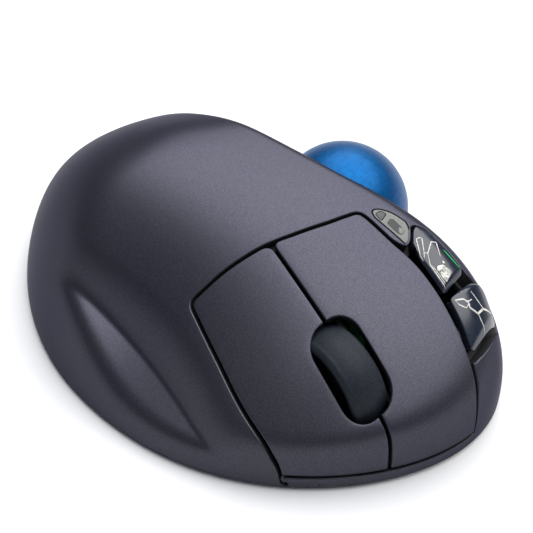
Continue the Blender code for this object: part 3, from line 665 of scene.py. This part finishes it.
def mixed(tree, a, b, factor, blend="MIX"):
    node = tree.nodes.new("ShaderNodeMix")
    node.data_type = "RGBA"
    node.blend_type = blend
    sockets = {"Factor": factor, "A": a, "B": b}
    for socket in node.inputs:
        given = sockets.get(socket.name)
        if given is None or not socket.enabled:
            continue
        if isinstance(given, (int, float, tuple)):
            socket.default_value = given
        else:
            tree.links.new(given, socket)
    return next(s for s in node.outputs if s.enabled)


def bumped(tree, shader, value, strength, distance):
    node = tree.nodes.new("ShaderNodeBump")
    node.inputs["Strength"].default_value = strength
    node.inputs["Distance"].default_value = distance
    tree.links.new(value, node.inputs["Height"])
    tree.links.new(node.outputs["Normal"], shader.inputs["Normal"])


def surfaced(tree, shader, colour, roughness, **values):
    """Links colour and roughness, and sets the shader's other values, named with _ for a space."""
    tree.links.new(colour, shader.inputs["Base Color"])
    tree.links.new(roughness, shader.inputs["Roughness"])
    for name, value in values.items():
        shader.inputs[name.replace("_", " ")].default_value = value


# Painted highlight on sharp outer edges: the pointiness range it covers, the most it lightens, and how finely
# it is broken up.
EDGE_HIGHLIGHT_RANGE = (0.53, 0.62)
EDGE_HIGHLIGHT_MOST = (0.5, 0.5, 0.5)
EDGE_HIGHLIGHT_SCALE = 160
DRIFT_SCALE = 38


def painted_edge_highlight(tree, colour, edge_highlight):
    """Paints a highlight on sharp outer edges: lightens them a little, unevenly."""
    geometry = tree.nodes.new("ShaderNodeNewGeometry")
    highlight_mask = ramp(tree, geometry.outputs["Pointiness"], (0, 0, 0), EDGE_HIGHLIGHT_MOST, *EDGE_HIGHLIGHT_RANGE)
    patchy = mixed(tree, (0, 0, 0, 1), highlight_mask, noise(tree, EDGE_HIGHLIGHT_SCALE, 3))
    return mixed(tree, colour, (*edge_highlight, 1), patchy)


def plastic(
    name, dark, light, roughness=(0.4, 0.5), grain=2200, bump=0.1, distance=2e-5,
    metallic=0.0, edge_highlight=None, gloss=0.5,
):
    """Moulded or painted plastic: fine grain, slow drift of tone, uneven gloss, and a painted highlight on
    sharp edges when its colour is given.
    """
    material, tree, shader = shader_graph(name)
    fine = noise(tree, grain, 2)
    slow = noise(tree, DRIFT_SCALE, 3)
    colour = ramp(tree, fine, dark, light)
    shade = ramp(tree, slow, (0.86, 0.86, 0.88), (1.0, 1.0, 1.0), 0.3, 0.7)
    colour = mixed(tree, colour, shade, 1.0, "MULTIPLY")
    # Painted highlight on sharp edges, when its colour is given.
    if edge_highlight:
        colour = painted_edge_highlight(tree, colour, edge_highlight)
    rough = ranged(tree, slow, *roughness)
    surfaced(tree, shader, colour, rough, Metallic=metallic, Specular_IOR_Level=gloss)
    bumped(tree, shader, fine, bump, distance)
    return material


FLAKE_SCALE = 5200
CLOUD_SCALE = 22
PAINT_DARK, PAINT_LIGHT = (0.038, 0.038, 0.050), (0.072, 0.072, 0.089)
# Colour of the painted highlight on the case's sharp edges.
PAINT_EDGE_HIGHLIGHT = (0.075, 0.075, 0.08)
PAINT_ROUGHNESS = (0.36, 0.42)
PAINT_TINT = (0.3, 0.3, 0.36, 1)


def case_paint():
    """Charcoal satin paint: fine metal flakes in a blue-violet grey, with a painted highlight on sharp edges.
    """
    material, tree, shader = shader_graph("case_charcoal")
    flakes = noise(tree, FLAKE_SCALE, 1.5, 0.6)
    cloud = noise(tree, CLOUD_SCALE, 3)
    colour = ramp(tree, flakes, PAINT_DARK, PAINT_LIGHT, 0.34, 0.68)
    tint = ramp(tree, cloud, (0.90, 0.90, 0.96), (1.0, 1.0, 0.98), 0.3, 0.7)
    colour = mixed(tree, colour, tint, 1.0, "MULTIPLY")
    # Painted highlight on sharp edges.
    colour = painted_edge_highlight(tree, colour, PAINT_EDGE_HIGHLIGHT)
    rough = ranged(tree, cloud, *PAINT_ROUGHNESS)
    surfaced(tree, shader, colour, rough, Metallic=0.75, Specular_Tint=PAINT_TINT)
    bumped(tree, shader, flakes, 0.06, 1e-5)
    return material


PEARL_SCALE = 900
SWIRL_SCALE = 60
PEARL_DARK, PEARL_LIGHT = (0.0, 0.062, 0.19), (0.001, 0.085, 0.245)
# Grey of the painted reflection at the ball's rim.
PEARL_RIM_REFLECTION = (0.10, 0.17, 0.27, 1)
PEARL_ROUGHNESS = (0.42, 0.5)


def ball_pearl():
    """Pearl blue under a clear polished coat, with a painted grey reflection mixed in towards the rim."""
    material, tree, shader = shader_graph("ball_blue")
    pearl = noise(tree, PEARL_SCALE, 3, 0.6)
    swirl = noise(tree, SWIRL_SCALE, 3, 0.5, 0.6)
    colour = ramp(tree, pearl, PEARL_DARK, PEARL_LIGHT)
    tint = ramp(tree, swirl, (0.82, 0.9, 0.95), (1.0, 1.0, 1.0))
    colour = mixed(tree, colour, tint, 1.0, "MULTIPLY")
    weight = tree.nodes.new("ShaderNodeLayerWeight")
    weight.inputs["Blend"].default_value = 0.35
    # Painted reflection: the colour turns grey towards the rim as the surface faces away.
    edge = ramp(tree, weight.outputs["Facing"], (0, 0, 0), (0.5, 0.5, 0.5), 0.35, 0.95)
    colour = mixed(tree, colour, PEARL_RIM_REFLECTION, edge)
    rough = ranged(tree, swirl, *PEARL_ROUGHNESS)
    gloss = {"Specular_IOR_Level": 0.2, "Coat_Weight": 0.05, "Coat_Roughness": 0.12}
    surfaced(tree, shader, colour, rough, Metallic=0.8, **gloss)
    return material


STEEL_SCALE = 1500
STEEL_ROUGHNESS = (0.22, 0.36)
CLEAR_SCALE = 500
CLEAR_LIFT = 1.05
CLEAR_CLOUD = 0.06


def metal(name, dark, light):
    """Bare metal with fine scratches."""
    material, tree, shader = shader_graph(name)
    fine = noise(tree, STEEL_SCALE, 3)
    rough = ranged(tree, fine, *STEEL_ROUGHNESS)
    surfaced(tree, shader, ramp(tree, fine, dark, light), rough, Metallic=1.0)
    bumped(tree, shader, fine, 0.08, 1e-5)
    return material


def clear(name, tint, roughness):
    """See-through plastic with a faint cloud."""
    material, tree, shader = shader_graph(name)
    fine = noise(tree, CLEAR_SCALE, 2)
    colour = ramp(tree, fine, tint, tuple(min(1, c * CLEAR_LIFT) for c in tint))
    rough = ranged(tree, fine, roughness, roughness + CLEAR_CLOUD)
    surfaced(tree, shader, colour, rough, Transmission_Weight=0.7)
    return material


PAINT = case_paint()
BALL_BLUE = ball_pearl()
CORE_BLUE = plastic("ball_core_blue", (0.0, 0.12, 0.36), (0.0, 0.16, 0.44), (0.3, 0.4))
# Inner black, with a painted highlight on its sharp edges.
BLACK = plastic(
    "inner_black", (0.010, 0.010, 0.011), (0.016, 0.016, 0.018), (0.5, 0.62), edge_highlight=(0.03, 0.03, 0.03)
)
# Walls and undersides of the case pieces: their unpainted black, made darker than inner_black as painted
# shade in the grooves.
SHADOW = plastic("groove_black_and_painted_shade", (0.004, 0.004, 0.005), (0.007, 0.007, 0.008), (0.55, 0.7))
# Key navy, with a pale painted highlight on its sharp edges.
KEY_NAVY = plastic(
    "key_navy", (0.010, 0.014, 0.023), (0.014, 0.019, 0.031), (0.12, 0.2), 900, 0.04, 1e-5,
    edge_highlight=(0.07, 0.075, 0.085),
)
# Pale lines painted on the keys as highlights.
KEY_PAINTED_HIGHLIGHT = plastic("key_painted_highlight", (0.42, 0.41, 0.36), (0.70, 0.68, 0.62), (0.35, 0.5), 1400)
# Silver patch painted on the back key as a reflection.
KEY_PAINTED_REFLECTION = plastic("key_painted_reflection", (0.10, 0.10, 0.09), (0.68, 0.66, 0.60), (0.3, 0.5), 1000, metallic=0.4)
# Green stripe painted on the back key as a reflection.
KEY_PAINTED_GREEN_REFLECTION = plastic("key_painted_green_reflection", (0.0, 0.22, 0.05), (0.01, 0.34, 0.08), (0.3, 0.4))
GREY = plastic("indicator_grey", (0.13, 0.135, 0.12), (0.16, 0.165, 0.147), (0.5, 0.6), 1800)
GLYPH = plastic("glyph_grey", (0.022, 0.023, 0.024), (0.029, 0.030, 0.031), (0.4, 0.5), gloss=0.3)
GLYPH_LIGHT = plastic("glyph_light", (0.11, 0.114, 0.10), (0.14, 0.147, 0.13), (0.4, 0.5))
SMOKE = plastic("indicator_smoke", (0.008, 0.008, 0.009), (0.014, 0.014, 0.015), (0.3, 0.4), 700, 0.03)
RUBBER = plastic(
    "wheel_rubber", (0.009, 0.012, 0.017), (0.014, 0.018, 0.024), (0.5, 0.58), 1700, 0.12, gloss=0.16
)
CLEAR = clear("clear_plastic", (0.85, 0.9, 0.9), 0.08)
BOARD = plastic("board_green", (0.012, 0.10, 0.035), (0.02, 0.16, 0.06), (0.35, 0.5), 700)
WHITE = plastic("switch_white", (0.68, 0.68, 0.64), (0.78, 0.78, 0.75), (0.3, 0.4))
CERAMIC = plastic("bearing_white", (0.8, 0.8, 0.78), (0.88, 0.88, 0.86), (0.08, 0.14))
GLIDE = plastic("glide_grey", (0.20, 0.21, 0.22), (0.28, 0.29, 0.30), (0.35, 0.5), 1500)
SKIN = plastic("battery_skin", (0.05, 0.20, 0.09), (0.08, 0.28, 0.13), (0.25, 0.35))
LABEL = plastic("label_silver", (0.42, 0.42, 0.43), (0.55, 0.55, 0.56), (0.35, 0.45), 1200, metallic=0.3)
STEEL = metal("bright_steel", (0.50, 0.50, 0.51), (0.66, 0.66, 0.67))

SLOT_MATERIALS = {
    "case_charcoal": PAINT,
    "inner_black": BLACK,
    "key_navy": KEY_NAVY,
    "indicator_grey": GREY,
    "indicator_smoke": SMOKE,
    "clear_plastic": CLEAR,
    "ball_blue": BALL_BLUE,
    "ball_core_blue": CORE_BLUE,
    "wheel_rubber": RUBBER,
    "board_green": BOARD,
    "switch_white": WHITE,
    "bright_steel": STEEL,
    "bearing_white": CERAMIC,
    "glide_grey": GLIDE,
    "battery_skin": SKIN,
    "label_silver": LABEL,
}


def dress_frame():
    """Every CAD node takes the procedural material of its slot in the record."""
    for entry in frame["record"]["subparts"]:
        obj = frame["nodes"][entry["node"]]
        material = SLOT_MATERIALS[entry["material_slot"]]
        if obj.data.materials:
            for i in range(len(obj.data.materials)):
                obj.data.materials[i] = material
        else:
            obj.data.materials.append(material)


# ---------------- case and buttons
RIM_POINTS = 560
WINDOW_CORNER = 1.6
PLATE_HOLE_CORNER = 0.8
BUTTON_CORNER = 1.0
# The buttons' outline is moved in from one that runs on past the front, to these two points.
FAR_RIGHT, FAR_LEFT = (22.3, 90.0), (-21.2, 90.0)
SPLIT_ROOM = 0.5


def window_loop():
    """The opening for the buttons and the side keys, as one outline."""
    left_front = WINDOW_LEFT_FRONT[-2:]
    front = front_run(*WINDOW_FRONT_X, APRON_Z, WINDOW_FRONT_STEPS)
    return [*WINDOW_RIGHT, *WINDOW_REAR, *WINDOW_LEFT[:-1], *KEY_RECESS, *left_front, *front]


def top_shell():
    angles = np.arange(RIM_POINTS) * 2 * np.pi / RIM_POINTS
    reach = outline(angles)
    rim = CENTRE + np.column_stack([reach * np.cos(angles), reach * np.sin(angles)])
    holes = [
        (smooth_outline(window_loop(), WINDOW_CORNER)[::-1], EDGE_R, ledge_wall),
        (smooth_outline(INDICATOR, PLATE_HOLE_CORNER, FINE_STEP)[::-1], FINE_EDGE_R, ledge_wall),
        (ball_opening()[::-1], BALL_EDGE_R, ball_wall),
    ]
    shell = panel("case_top", [(rim, 0, rim_wall), *holes], CASE_NET, [PAINT, SHADOW])
    placed(shell, "housing", "case_charcoal", "top_shell")


def cut_at(points, x):
    """The point where a rear edge listed by falling x crosses a place in x."""
    for (ax, ay), (bx, by) in zip(points, points[1:]):
        if bx <= x <= ax:
            return (x, ay + (by - ay) * (ax - x) / (ax - bx))
    return (x, points[-1][1])


def button_outlines():
    window = [*WINDOW_RIGHT, *WINDOW_REAR, *WINDOW_LEFT, *WINDOW_LEFT_FRONT]
    ring = [FAR_RIGHT, *window, FAR_LEFT]
    panel_edge = [tuple(p) for p in moved_in(ring[::-1], GROOVE)][::-1][1:-1]
    right = panel_edge[: len(WINDOW_RIGHT)]
    rear = panel_edge[len(WINDOW_RIGHT) : len(WINDOW_RIGHT) + len(WINDOW_REAR)]
    left = panel_edge[len(WINDOW_RIGHT) + len(WINDOW_REAR) :]
    halves = {}
    for name, side in (("left", -1), ("right", 1)):
        split = SPLIT_X + side * GROOVE / 2
        slot = slot_half(side)
        inner = [cut_at(rear, split), *slot, (split, float(front_y(split, BUTTON_LOW_Z)))]
        if side > 0:
            front = front_run(split, right[0][0], BUTTON_LOW_Z, BUTTON_FRONT_STEPS)[1:]
            outer = [*right[1:], *[p for p in rear if p[0] > split + SPLIT_ROOM]]
        else:
            front = front_run(split, left[-1][0], BUTTON_LOW_Z, BUTTON_FRONT_STEPS)[1:]
            outer = [*left[::-1], *[p for p in rear[::-1] if p[0] < split - SPLIT_ROOM]]
        halves[name] = smooth_outline([*inner, *front, *outer], BUTTON_CORNER)
    return halves


def main_buttons():
    for side, loop in button_outlines().items():
        borders = [(loop, EDGE_R, groove_wall)]
        button = panel(f"{side}_button_cover", borders, CASE_NET, [PAINT, SHADOW], cleared=clear_of_wheel)
        placed(button, f"{side}_button", "case_charcoal", f"{side}_button")


# ---------------- side keys
KEY_CORNER = 0.8
BEVEL_BLEND = 0.3
RIDGE_BLEND = 0.15
FRONT_BLEND = 0.2
RIBBON_STEP = 0.25
RIBBON_LIFT = 0.05
RIBBON_END = 0.45
RIBBON_TAPER = 0.6
RIBBON_TIP = 0.02
INLAY_SINK = 0.06
INLAY_CORNER = 0.15


def plane_over(a, b, c):
    """Lift above the case as a plane through three (x, y, lift) points."""
    matrix = np.array([[p[0], p[1], 1.0] for p in (a, b, c)])
    slope_x, slope_y, level = np.linalg.solve(matrix, [p[2] for p in (a, b, c)])
    return lambda x, y: slope_x * x + slope_y * y + level


# Back key: one broad face with a bevel along its front edge and one along the button.
back_face = plane_over((-29.0, 36.0, 0.5), (-33.0, 48.0, 0.7), (-24.7, 50.0, 1.1))
back_front = plane_over((-33.5, 48.8, -0.1), (-24.7, 51.8, 0.1), (-29.6, 49.0, 1.3))
back_inner = plane_over((-24.7, 42.6, 0.0), (-24.7, 51.4, 0.2), (-26.0, 46.0, 1.5))
# Forward key: a ridge near its rear edge, a narrow face behind it, a long one before it and a bevelled front.
forward_face = plane_over((-34.4, 53.4, 1.7), (-25.0, 54.2, 1.4), (-28.0, 62.0, 0.5))
forward_rear = plane_over((-32.6, 51.6, 0.4), (-24.8, 53.2, 0.9), (-32.0, 53.4, 1.8))
forward_outer = plane_over((-37.1, 55.6, 0.1), (-36.4, 58.6, -0.2), (-35.0, 56.6, 1.5))
forward_front = plane_over((-36.4, 58.6, -0.3), (-23.9, 63.3, -0.3), (-30.4, 60.1, 0.9))


def back_lift(x, y):
    face = soft_min(back_face(x, y), back_front(x, y), BEVEL_BLEND)
    return soft_min(face, back_inner(x, y), BEVEL_BLEND)


def forward_lift(x, y):
    ridge = soft_min(forward_face(x, y), forward_rear(x, y), RIDGE_BLEND)
    face = soft_min(ridge, forward_outer(x, y), BEVEL_BLEND)
    return soft_min(face, forward_front(x, y), FRONT_BLEND)


def back_height(x, y):
    return case_z(x, y) + back_lift(x, y)


def forward_height(x, y):
    return case_z(x, y) + forward_lift(x, y)


def ribbon(bm, points, width, height):
    """A thin raised line that lies on a surface, tapering towards its ends."""
    line = even(np.asarray(points, float), RIBBON_STEP, closed=False)
    count = len(line)
    ahead = unit(np.gradient(line, axis=0))
    across = np.column_stack([-ahead[:, 1], ahead[:, 0]])
    place = np.linspace(0, 1, count)
    swell = np.sin(np.pi * np.clip(place, RIBBON_TIP, 1 - RIBBON_TIP)) ** RIBBON_TAPER
    half = width / 2 * (RIBBON_END + (1 - RIBBON_END) * swell)
    rows = []
    for side, lift in ((-1, -RIBBON_LIFT), (-1, RIBBON_LIFT), (1, RIBBON_LIFT), (1, -RIBBON_LIFT)):
        plan = line + across * (side * half)[:, None]
        rows.append(np.column_stack([plan, height(*plan.T) + lift]))
    made = [[bm.verts.new(Vector(p) * MM) for p in row] for row in rows]
    for k in range(4):
        a, b = made[k], made[(k + 1) % 4]
        for i in range(count - 1):
            bm.faces.new((a[i], a[i + 1], b[i + 1], b[i]))
    for end in (0, count - 1):
        bm.faces.new([row[end] for row in made])


def inlay(bm, points, height, lift=0.04):
    """A thin flat patch that lies on a surface."""
    loop = smooth_outline(points, INLAY_CORNER, FINER_STEP)
    plan, triangles = net([loop], SMALL_NET)
    surface = np.column_stack([plan, height(*plan.T)])
    normals = slope_normals(height, plan)
    sides = ((surface + normals * lift, (0, 1, 2)), (surface - normals * INLAY_SINK, (2, 1, 0)))
    for points_3d, order in sides:
        made = [bm.verts.new(Vector(p) * MM) for p in points_3d]
        for triangle in triangles:
            bm.faces.new([made[triangle[k]] for k in order])
    edge = np.column_stack([loop, height(*loop.T)])
    normals = slope_normals(height, loop)
    add_rows(bm, [edge + normals * lift, edge - normals * INLAY_SINK])


# Each painted highlight line on a key: its breadth and its points.
BACK_HIGHLIGHT_LINES = [
    (0.22, [
        (-25.2, 43.9), (-25.3, 42.6), (-27.2, 38.9), (-28.3, 38.8), (-28.6, 39.3), (-26.6, 42.4),
        (-25.7, 43.6),
    ]),
    (0.24, [(-26.6, 42.4), (-27.2, 43.0), (-30.3, 40.7), (-31.4, 41.2), (-29.7, 44.6)]),
    (0.20, [(-27.2, 43.0), (-25.9, 45.4), (-25.8, 48.2), (-25.8, 51.0)]),
    (0.14, [(-26.2, 45.8), (-26.3, 48.4), (-26.3, 50.4)]),
]
FORWARD_HIGHLIGHT_LINES = [
    (0.30, [(-25.9, 54.3), (-28.1, 54.8), (-28.6, 55.5), (-30.1, 55.4)]),
    (0.20, [(-25.9, 54.3), (-26.3, 55.4), (-27.6, 56.4), (-28.8, 55.9)]),
    (0.40, [(-28.6, 55.3), (-28.8, 55.9), (-28.5, 56.6), (-29.9, 58.1), (-32.1, 57.5), (-34.4, 58.2)]),
    (0.22, [(-31.0, 54.0), (-31.5, 55.7), (-32.1, 57.5)]),
    (0.24, [(-29.9, 58.1), (-29.9, 59.6), (-29.9, 61.0)]),
]
# A silver patch and dot and a green stripe painted on the back key as reflections.
REFLECTION_PATCH = [(-27.4, 46.3), (-28.8, 46.5), (-29.9, 48.6), (-26.8, 50.2), (-26.6, 47.0)]
REFLECTION_DOT = [(-29.2, 45.7), (-29.6, 45.8), (-29.6, 46.4), (-29.2, 46.3)]
GREEN_REFLECTION_WIDTH = 0.42
GREEN_REFLECTION_LINE = [(-31.8, 43.4), (-32.2, 46.0), (-32.6, 48.2)]


def side_keys():
    keys = (
        ("back", BACK_KEY, back_height, BACK_HIGHLIGHT_LINES),
        ("forward", FORWARD_KEY, forward_height, FORWARD_HIGHLIGHT_LINES),
    )
    for side, points, height, highlight_lines in keys:
        borders = [(smooth_outline(points, KEY_CORNER, FINE_STEP), KEY_EDGE_R, key_wall)]
        key = panel(f"{side}_key_cover", borders, KEY_NET, [KEY_NAVY, KEY_NAVY], height)
        placed(key, f"{side}_button", "key_navy", f"{side}_button")
        bm = bmesh.new()
        # Pale lines of painted highlight on the key.
        for width, line in highlight_lines:
            ribbon(bm, line, width, height)
        placed(to_object(f"{side}_key_painted_highlights", bm, [KEY_PAINTED_HIGHLIGHT]), f"{side}_button", "key_navy")
    # Painted reflections on the back key: silver patch, silver dot and green stripe.
    bm = bmesh.new()
    inlay(bm, REFLECTION_PATCH, back_height)
    inlay(bm, REFLECTION_DOT, back_height)
    placed(to_object("back_key_painted_reflection", bm, [KEY_PAINTED_REFLECTION]), "back_button", "key_navy")
    bm = bmesh.new()
    ribbon(bm, GREEN_REFLECTION_LINE, GREEN_REFLECTION_WIDTH, back_height)
    placed(to_object("back_key_painted_green_reflection", bm, [KEY_PAINTED_GREEN_REFLECTION]), "back_button", "key_navy")


# ---------------- indicator
BATTERY_GLYPH = [
    (-24.0, 32.1), (-25.6, 31.4), (-26.3, 31.9), (-26.6, 34.6), (-26.6, 35.6), (-25.4, 36.2), (-24.8, 35.8),
    (-24.5, 35.2),
]
BATTERY_GLYPH_LIGHT = [(-25.9, 34.2), (-26.5, 34.7), (-26.5, 35.5), (-25.5, 36.0), (-25.0, 35.4)]


PLATE_CORNER = 0.7
LENS_HOLE_CORNER = 0.3
LENS_CORNER = 0.25
LENS_GAP = 0.12
GLYPH_LIFT, GLYPH_LIGHT_LIFT = 0.02, 0.035


def indicator():
    plate_outline = moved_in(anticlockwise(np.array(INDICATOR)), SEAM)
    plate_loop = smooth_outline(plate_outline, PLATE_CORNER, FINE_STEP)
    window = anticlockwise(np.array(INDICATOR_WINDOW))
    hole = smooth_outline(window, LENS_HOLE_CORNER, FINEST_STEP)[::-1]
    borders = [(plate_loop, FINE_EDGE_R, groove_wall), (hole, LENS_EDGE_R, groove_wall)]
    plate = panel("indicator_plate_cover", borders, SMALL_NET, [GREY, GREY])
    placed(plate, "housing", "indicator_grey", "indicator_plate")
    lens_loop = smooth_outline(moved_in(window, LENS_GAP), LENS_CORNER, FINEST_STEP)
    lens = panel("indicator_window", [(lens_loop, LENS_EDGE_R, groove_wall)], SMALL_NET, [SMOKE, SMOKE])
    placed(lens, "housing", "indicator_smoke", "indicator_lens")
    for name, points, material, lift in (
        ("indicator_glyph", BATTERY_GLYPH, GLYPH, GLYPH_LIFT),
        ("indicator_glyph_level", BATTERY_GLYPH_LIGHT, GLYPH_LIGHT, GLYPH_LIGHT_LIFT),
    ):
        bm = bmesh.new()
        inlay(bm, points, case_z, lift)
        placed(to_object(name, bm, [material]), "housing", "indicator_grey")


# ---------------- ball and wheel
BALL_STEPS = 72
BALL_SIDES = 128
TYRE_CROWN = 0.6
TYRE_CORNER = 1.3
TYRE_CORNER_STEPS = 8
TYRE_STEPS = 12
TYRE_BORE_R = 9.6
TYRE_FACE_R = 10.0
TYRE_CHAMFER = 0.2
TYRE_SIDES = 120
HUB_SIDES = 72
HUB_PROFILE = [
    (0, -9.9), (1.2, -9.9), (1.5, -9.6), (1.5, -3.9), (3.2, -3.9), (3.6, -3.5), (8.4, -2.9), (8.8, -3.3),
    (9.5, -3.3), (9.5, 3.3), (8.8, 3.3), (8.4, 2.9), (3.6, 3.5), (3.2, 3.9), (1.5, 3.9), (1.5, 8.4),
    (1.2, 8.7), (0, 8.7),
]


def ball():
    bm = bmesh.new()
    angles = [math.pi * k / BALL_STEPS for k in range(BALL_STEPS + 1)]
    profile = [(BALL_R * math.sin(a), BALL_R * math.cos(a)) for a in angles]
    lathe(bm, profile, (0, 0, 1), BALL, BALL_SIDES)
    placed(to_object("ball_surface", bm, [BALL_BLUE]), "ball_coat", "ball_blue", "trackball_coat")


def tyre_section():
    """The crowned tread and its rounded corners, from one side of the tyre to the other."""
    flat = WHEEL_HALF - TYRE_CORNER
    corner = []
    for k in range(TYRE_CORNER_STEPS + 1):
        angle = math.pi / 2 * k / TYRE_CORNER_STEPS
        height = WHEEL_R - TYRE_CROWN - TYRE_CORNER + TYRE_CORNER * math.sin(angle)
        corner.append((height, flat + TYRE_CORNER * math.cos(angle)))
    tread = []
    for k in range(1, TYRE_STEPS):
        across = -flat + 2 * flat * k / TYRE_STEPS
        tread.append((WHEEL_R - TYRE_CROWN * (across / flat) ** 2, across))
    return [*[(height, -across) for height, across in corner], *tread, *corner[::-1]]


def wheel():
    profile = [
        (TYRE_BORE_R, -WHEEL_HALF + TYRE_CHAMFER), (TYRE_FACE_R, -WHEEL_HALF), *tyre_section(),
        (TYRE_FACE_R, WHEEL_HALF), (TYRE_BORE_R, WHEEL_HALF - TYRE_CHAMFER),
    ]
    bm = bmesh.new()
    lathe(bm, [*profile, profile[0]], AXLE, WHEEL, TYRE_SIDES)
    placed(to_object("wheel_tyre_surface", bm, [RUBBER]), "wheel", "wheel_rubber", "wheel_tyre")
    bm = bmesh.new()
    lathe(bm, HUB_PROFILE, AXLE, WHEEL, HUB_SIDES)
    placed(to_object("wheel_hub_turned", bm, [BLACK]), "wheel", "inner_black", "wheel_hub")


# ---------------- underside and inner pieces
MERGE = 1e-6
FLAT = math.radians(1)
SHARP = math.radians(50)
REFINED_SMOOTH = 35
PAD_SIDES = 64
PAD_HEIGHT = 1.0
# The rounded lower edge of a glide pad: how far in from its radius, and how high.
PAD_EDGE = [(-0.5, 0), (-0.2, 0.1), (0, 0.4), (0, PAD_HEIGHT)]


def refined(node, body, slot, width):
    """The CAD solid again with its sharp edges rounded."""
    bm = bmesh.new()
    bm.from_mesh(frame["nodes"][node].data)
    bmesh.ops.remove_doubles(bm, verts=bm.verts, dist=MERGE)
    bmesh.ops.dissolve_limit(bm, angle_limit=FLAT, verts=bm.verts, edges=bm.edges)
    sharp = [e for e in bm.edges if len(e.link_faces) == 2 and e.calc_face_angle() > SHARP]
    bmesh.ops.bevel(
        bm, geom=sharp, offset=width * MM, segments=2, profile=0.5, affect="EDGES", clamp_overlap=True
    )
    obj = to_object(node + "_rounded", bm, [SLOT_MATERIALS[slot]], REFINED_SMOOTH, TINY)
    return placed(obj, body, slot, node)


def glide_feet():
    for number in range(1, 6):
        node = f"glide_foot_{number}"
        low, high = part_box(node)
        x, y = (low.x + high.x) / 2 / MM, (low.y + high.y) / 2 / MM
        radius = (high.x - low.x) / 2 / MM
        profile = [(0, 0), *[(radius + inset, z) for inset, z in PAD_EDGE], (0, PAD_HEIGHT)]
        bm = bmesh.new()
        lathe(bm, profile, (0, 0, 1), (x, y, 0), PAD_SIDES)
        placed(to_object(node + "_pad", bm, [GLIDE]), "housing", "glide_grey", node)


def underside():
    for node, body, slot, width in (
        ("base", "housing", "inner_black", 0.12),
        ("battery_door", "battery_door", "inner_black", 0.2),
        ("power_slider", "power_slider", "key_navy", 0.25),
        ("rating_label", "housing", "label_silver", 0.02),
    ):
        refined(node, body, slot, width)


def inner_pieces():
    for node, slot, width in (
        ("main_board", "board_green", 0.1),
        ("side_board", "board_green", 0.1),
        ("sensor_board", "board_green", 0.1),
        ("radio_chip", "inner_black", 0.1),
        ("left_switch", "inner_black", 0.2),
        ("right_switch", "inner_black", 0.2),
        ("scroll_encoder", "inner_black", 0.3),
        ("receiver_plug", "bright_steel", 0.08),
        ("receiver_cap", "inner_black", 0.4),
    ):
        refined(node, "housing", slot, width)


# ---------------- camera, floor and light, metres
CAMERA_PLACE = Vector((0.0889, 0.1469, 0.1614))
CAMERA_TARGET = Vector((-0.0081, 0.0069, 0.0138))
CAMERA_ROLL = math.radians(0.65)
CAMERA_LENS = 59.28
CAMERA_SENSOR = 36.0
CAMERA_NEAR = 0.01
FLOOR_Z = -0.0001  # just under the feet, so that no two faces lie in one plane
FLOOR_HALF = 6.0
FLOOR_SCALE = 6
FLOOR_ROUGHNESS = 0.9
FLOOR_DARK, FLOOR_LIGHT = (0.70,) * 3, (0.73,) * 3
HORIZON, ZENITH = (0.9, 0.9, 0.9), (0.093, 0.102, 0.15)
SKY_RANGE = (0.02, 0.25)
SOFTBOX_PLACE = Vector((-1.2, -0.4, 2.8))
SOFTBOX_TARGET = Vector((-0.5, -0.4, 0.0))
SOFTBOX_SIZE = (5.5, 3.9)
SOFTBOX_POWER = 300.0


def camera():
    data = bpy.data.cameras.new("camera")
    data.lens = CAMERA_LENS
    data.sensor_width = CAMERA_SENSOR
    data.clip_start = CAMERA_NEAR
    obj = bpy.data.objects.new("camera", data)
    bpy.context.scene.collection.objects.link(obj)
    turn = (CAMERA_TARGET - CAMERA_PLACE).to_track_quat("-Z", "Y") @ Quaternion((0, 0, 1), CAMERA_ROLL)
    obj.location = CAMERA_PLACE
    obj.rotation_mode = "QUATERNION"
    obj.rotation_quaternion = turn
    bpy.context.scene.camera = obj


def floor():
    material, tree, shader = shader_graph("floor_white")
    colour = ramp(tree, noise(tree, FLOOR_SCALE, 2), FLOOR_DARK, FLOOR_LIGHT)
    tree.links.new(colour, shader.inputs["Base Color"])
    shader.inputs["Roughness"].default_value = FLOOR_ROUGHNESS
    bm = bmesh.new()
    bmesh.ops.create_grid(bm, x_segments=8, y_segments=8, size=FLOOR_HALF)
    obj = to_object("floor", bm, [material])
    obj.location.z = FLOOR_Z


def softbox():
    data = bpy.data.lights.new("softbox", "AREA")
    data.shape = "RECTANGLE"
    data.size, data.size_y = SOFTBOX_SIZE
    data.energy = SOFTBOX_POWER
    obj = bpy.data.objects.new("softbox", data)
    bpy.context.scene.collection.objects.link(obj)
    obj.location = SOFTBOX_PLACE
    obj.rotation_mode = "QUATERNION"
    obj.rotation_quaternion = (SOFTBOX_TARGET - SOFTBOX_PLACE).to_track_quat("-Z", "Y")


def studio():
    """A pale horizon under a dim blue-grey sky, and one large softbox above the thumb side."""
    world = bpy.data.worlds.new("studio")
    world.use_nodes = True
    tree = world.node_tree
    background = tree.nodes["Background"]
    direction = tree.nodes.new("ShaderNodeTexCoord")
    split = tree.nodes.new("ShaderNodeSeparateXYZ")
    tree.links.new(direction.outputs["Generated"], split.inputs["Vector"])
    sky = ramp(tree, split.outputs["Z"], HORIZON, ZENITH, *SKY_RANGE)
    tree.links.new(sky, background.inputs["Color"])
    background.inputs["Strength"].default_value = 1.0
    bpy.context.scene.world = world
    softbox()
    bpy.context.scene.view_settings.view_transform = "Standard"


camera()
dress_frame()
top_shell()
main_buttons()
side_keys()
indicator()
ball()
wheel()
underside()
glide_feet()
inner_pieces()
floor()
studio()
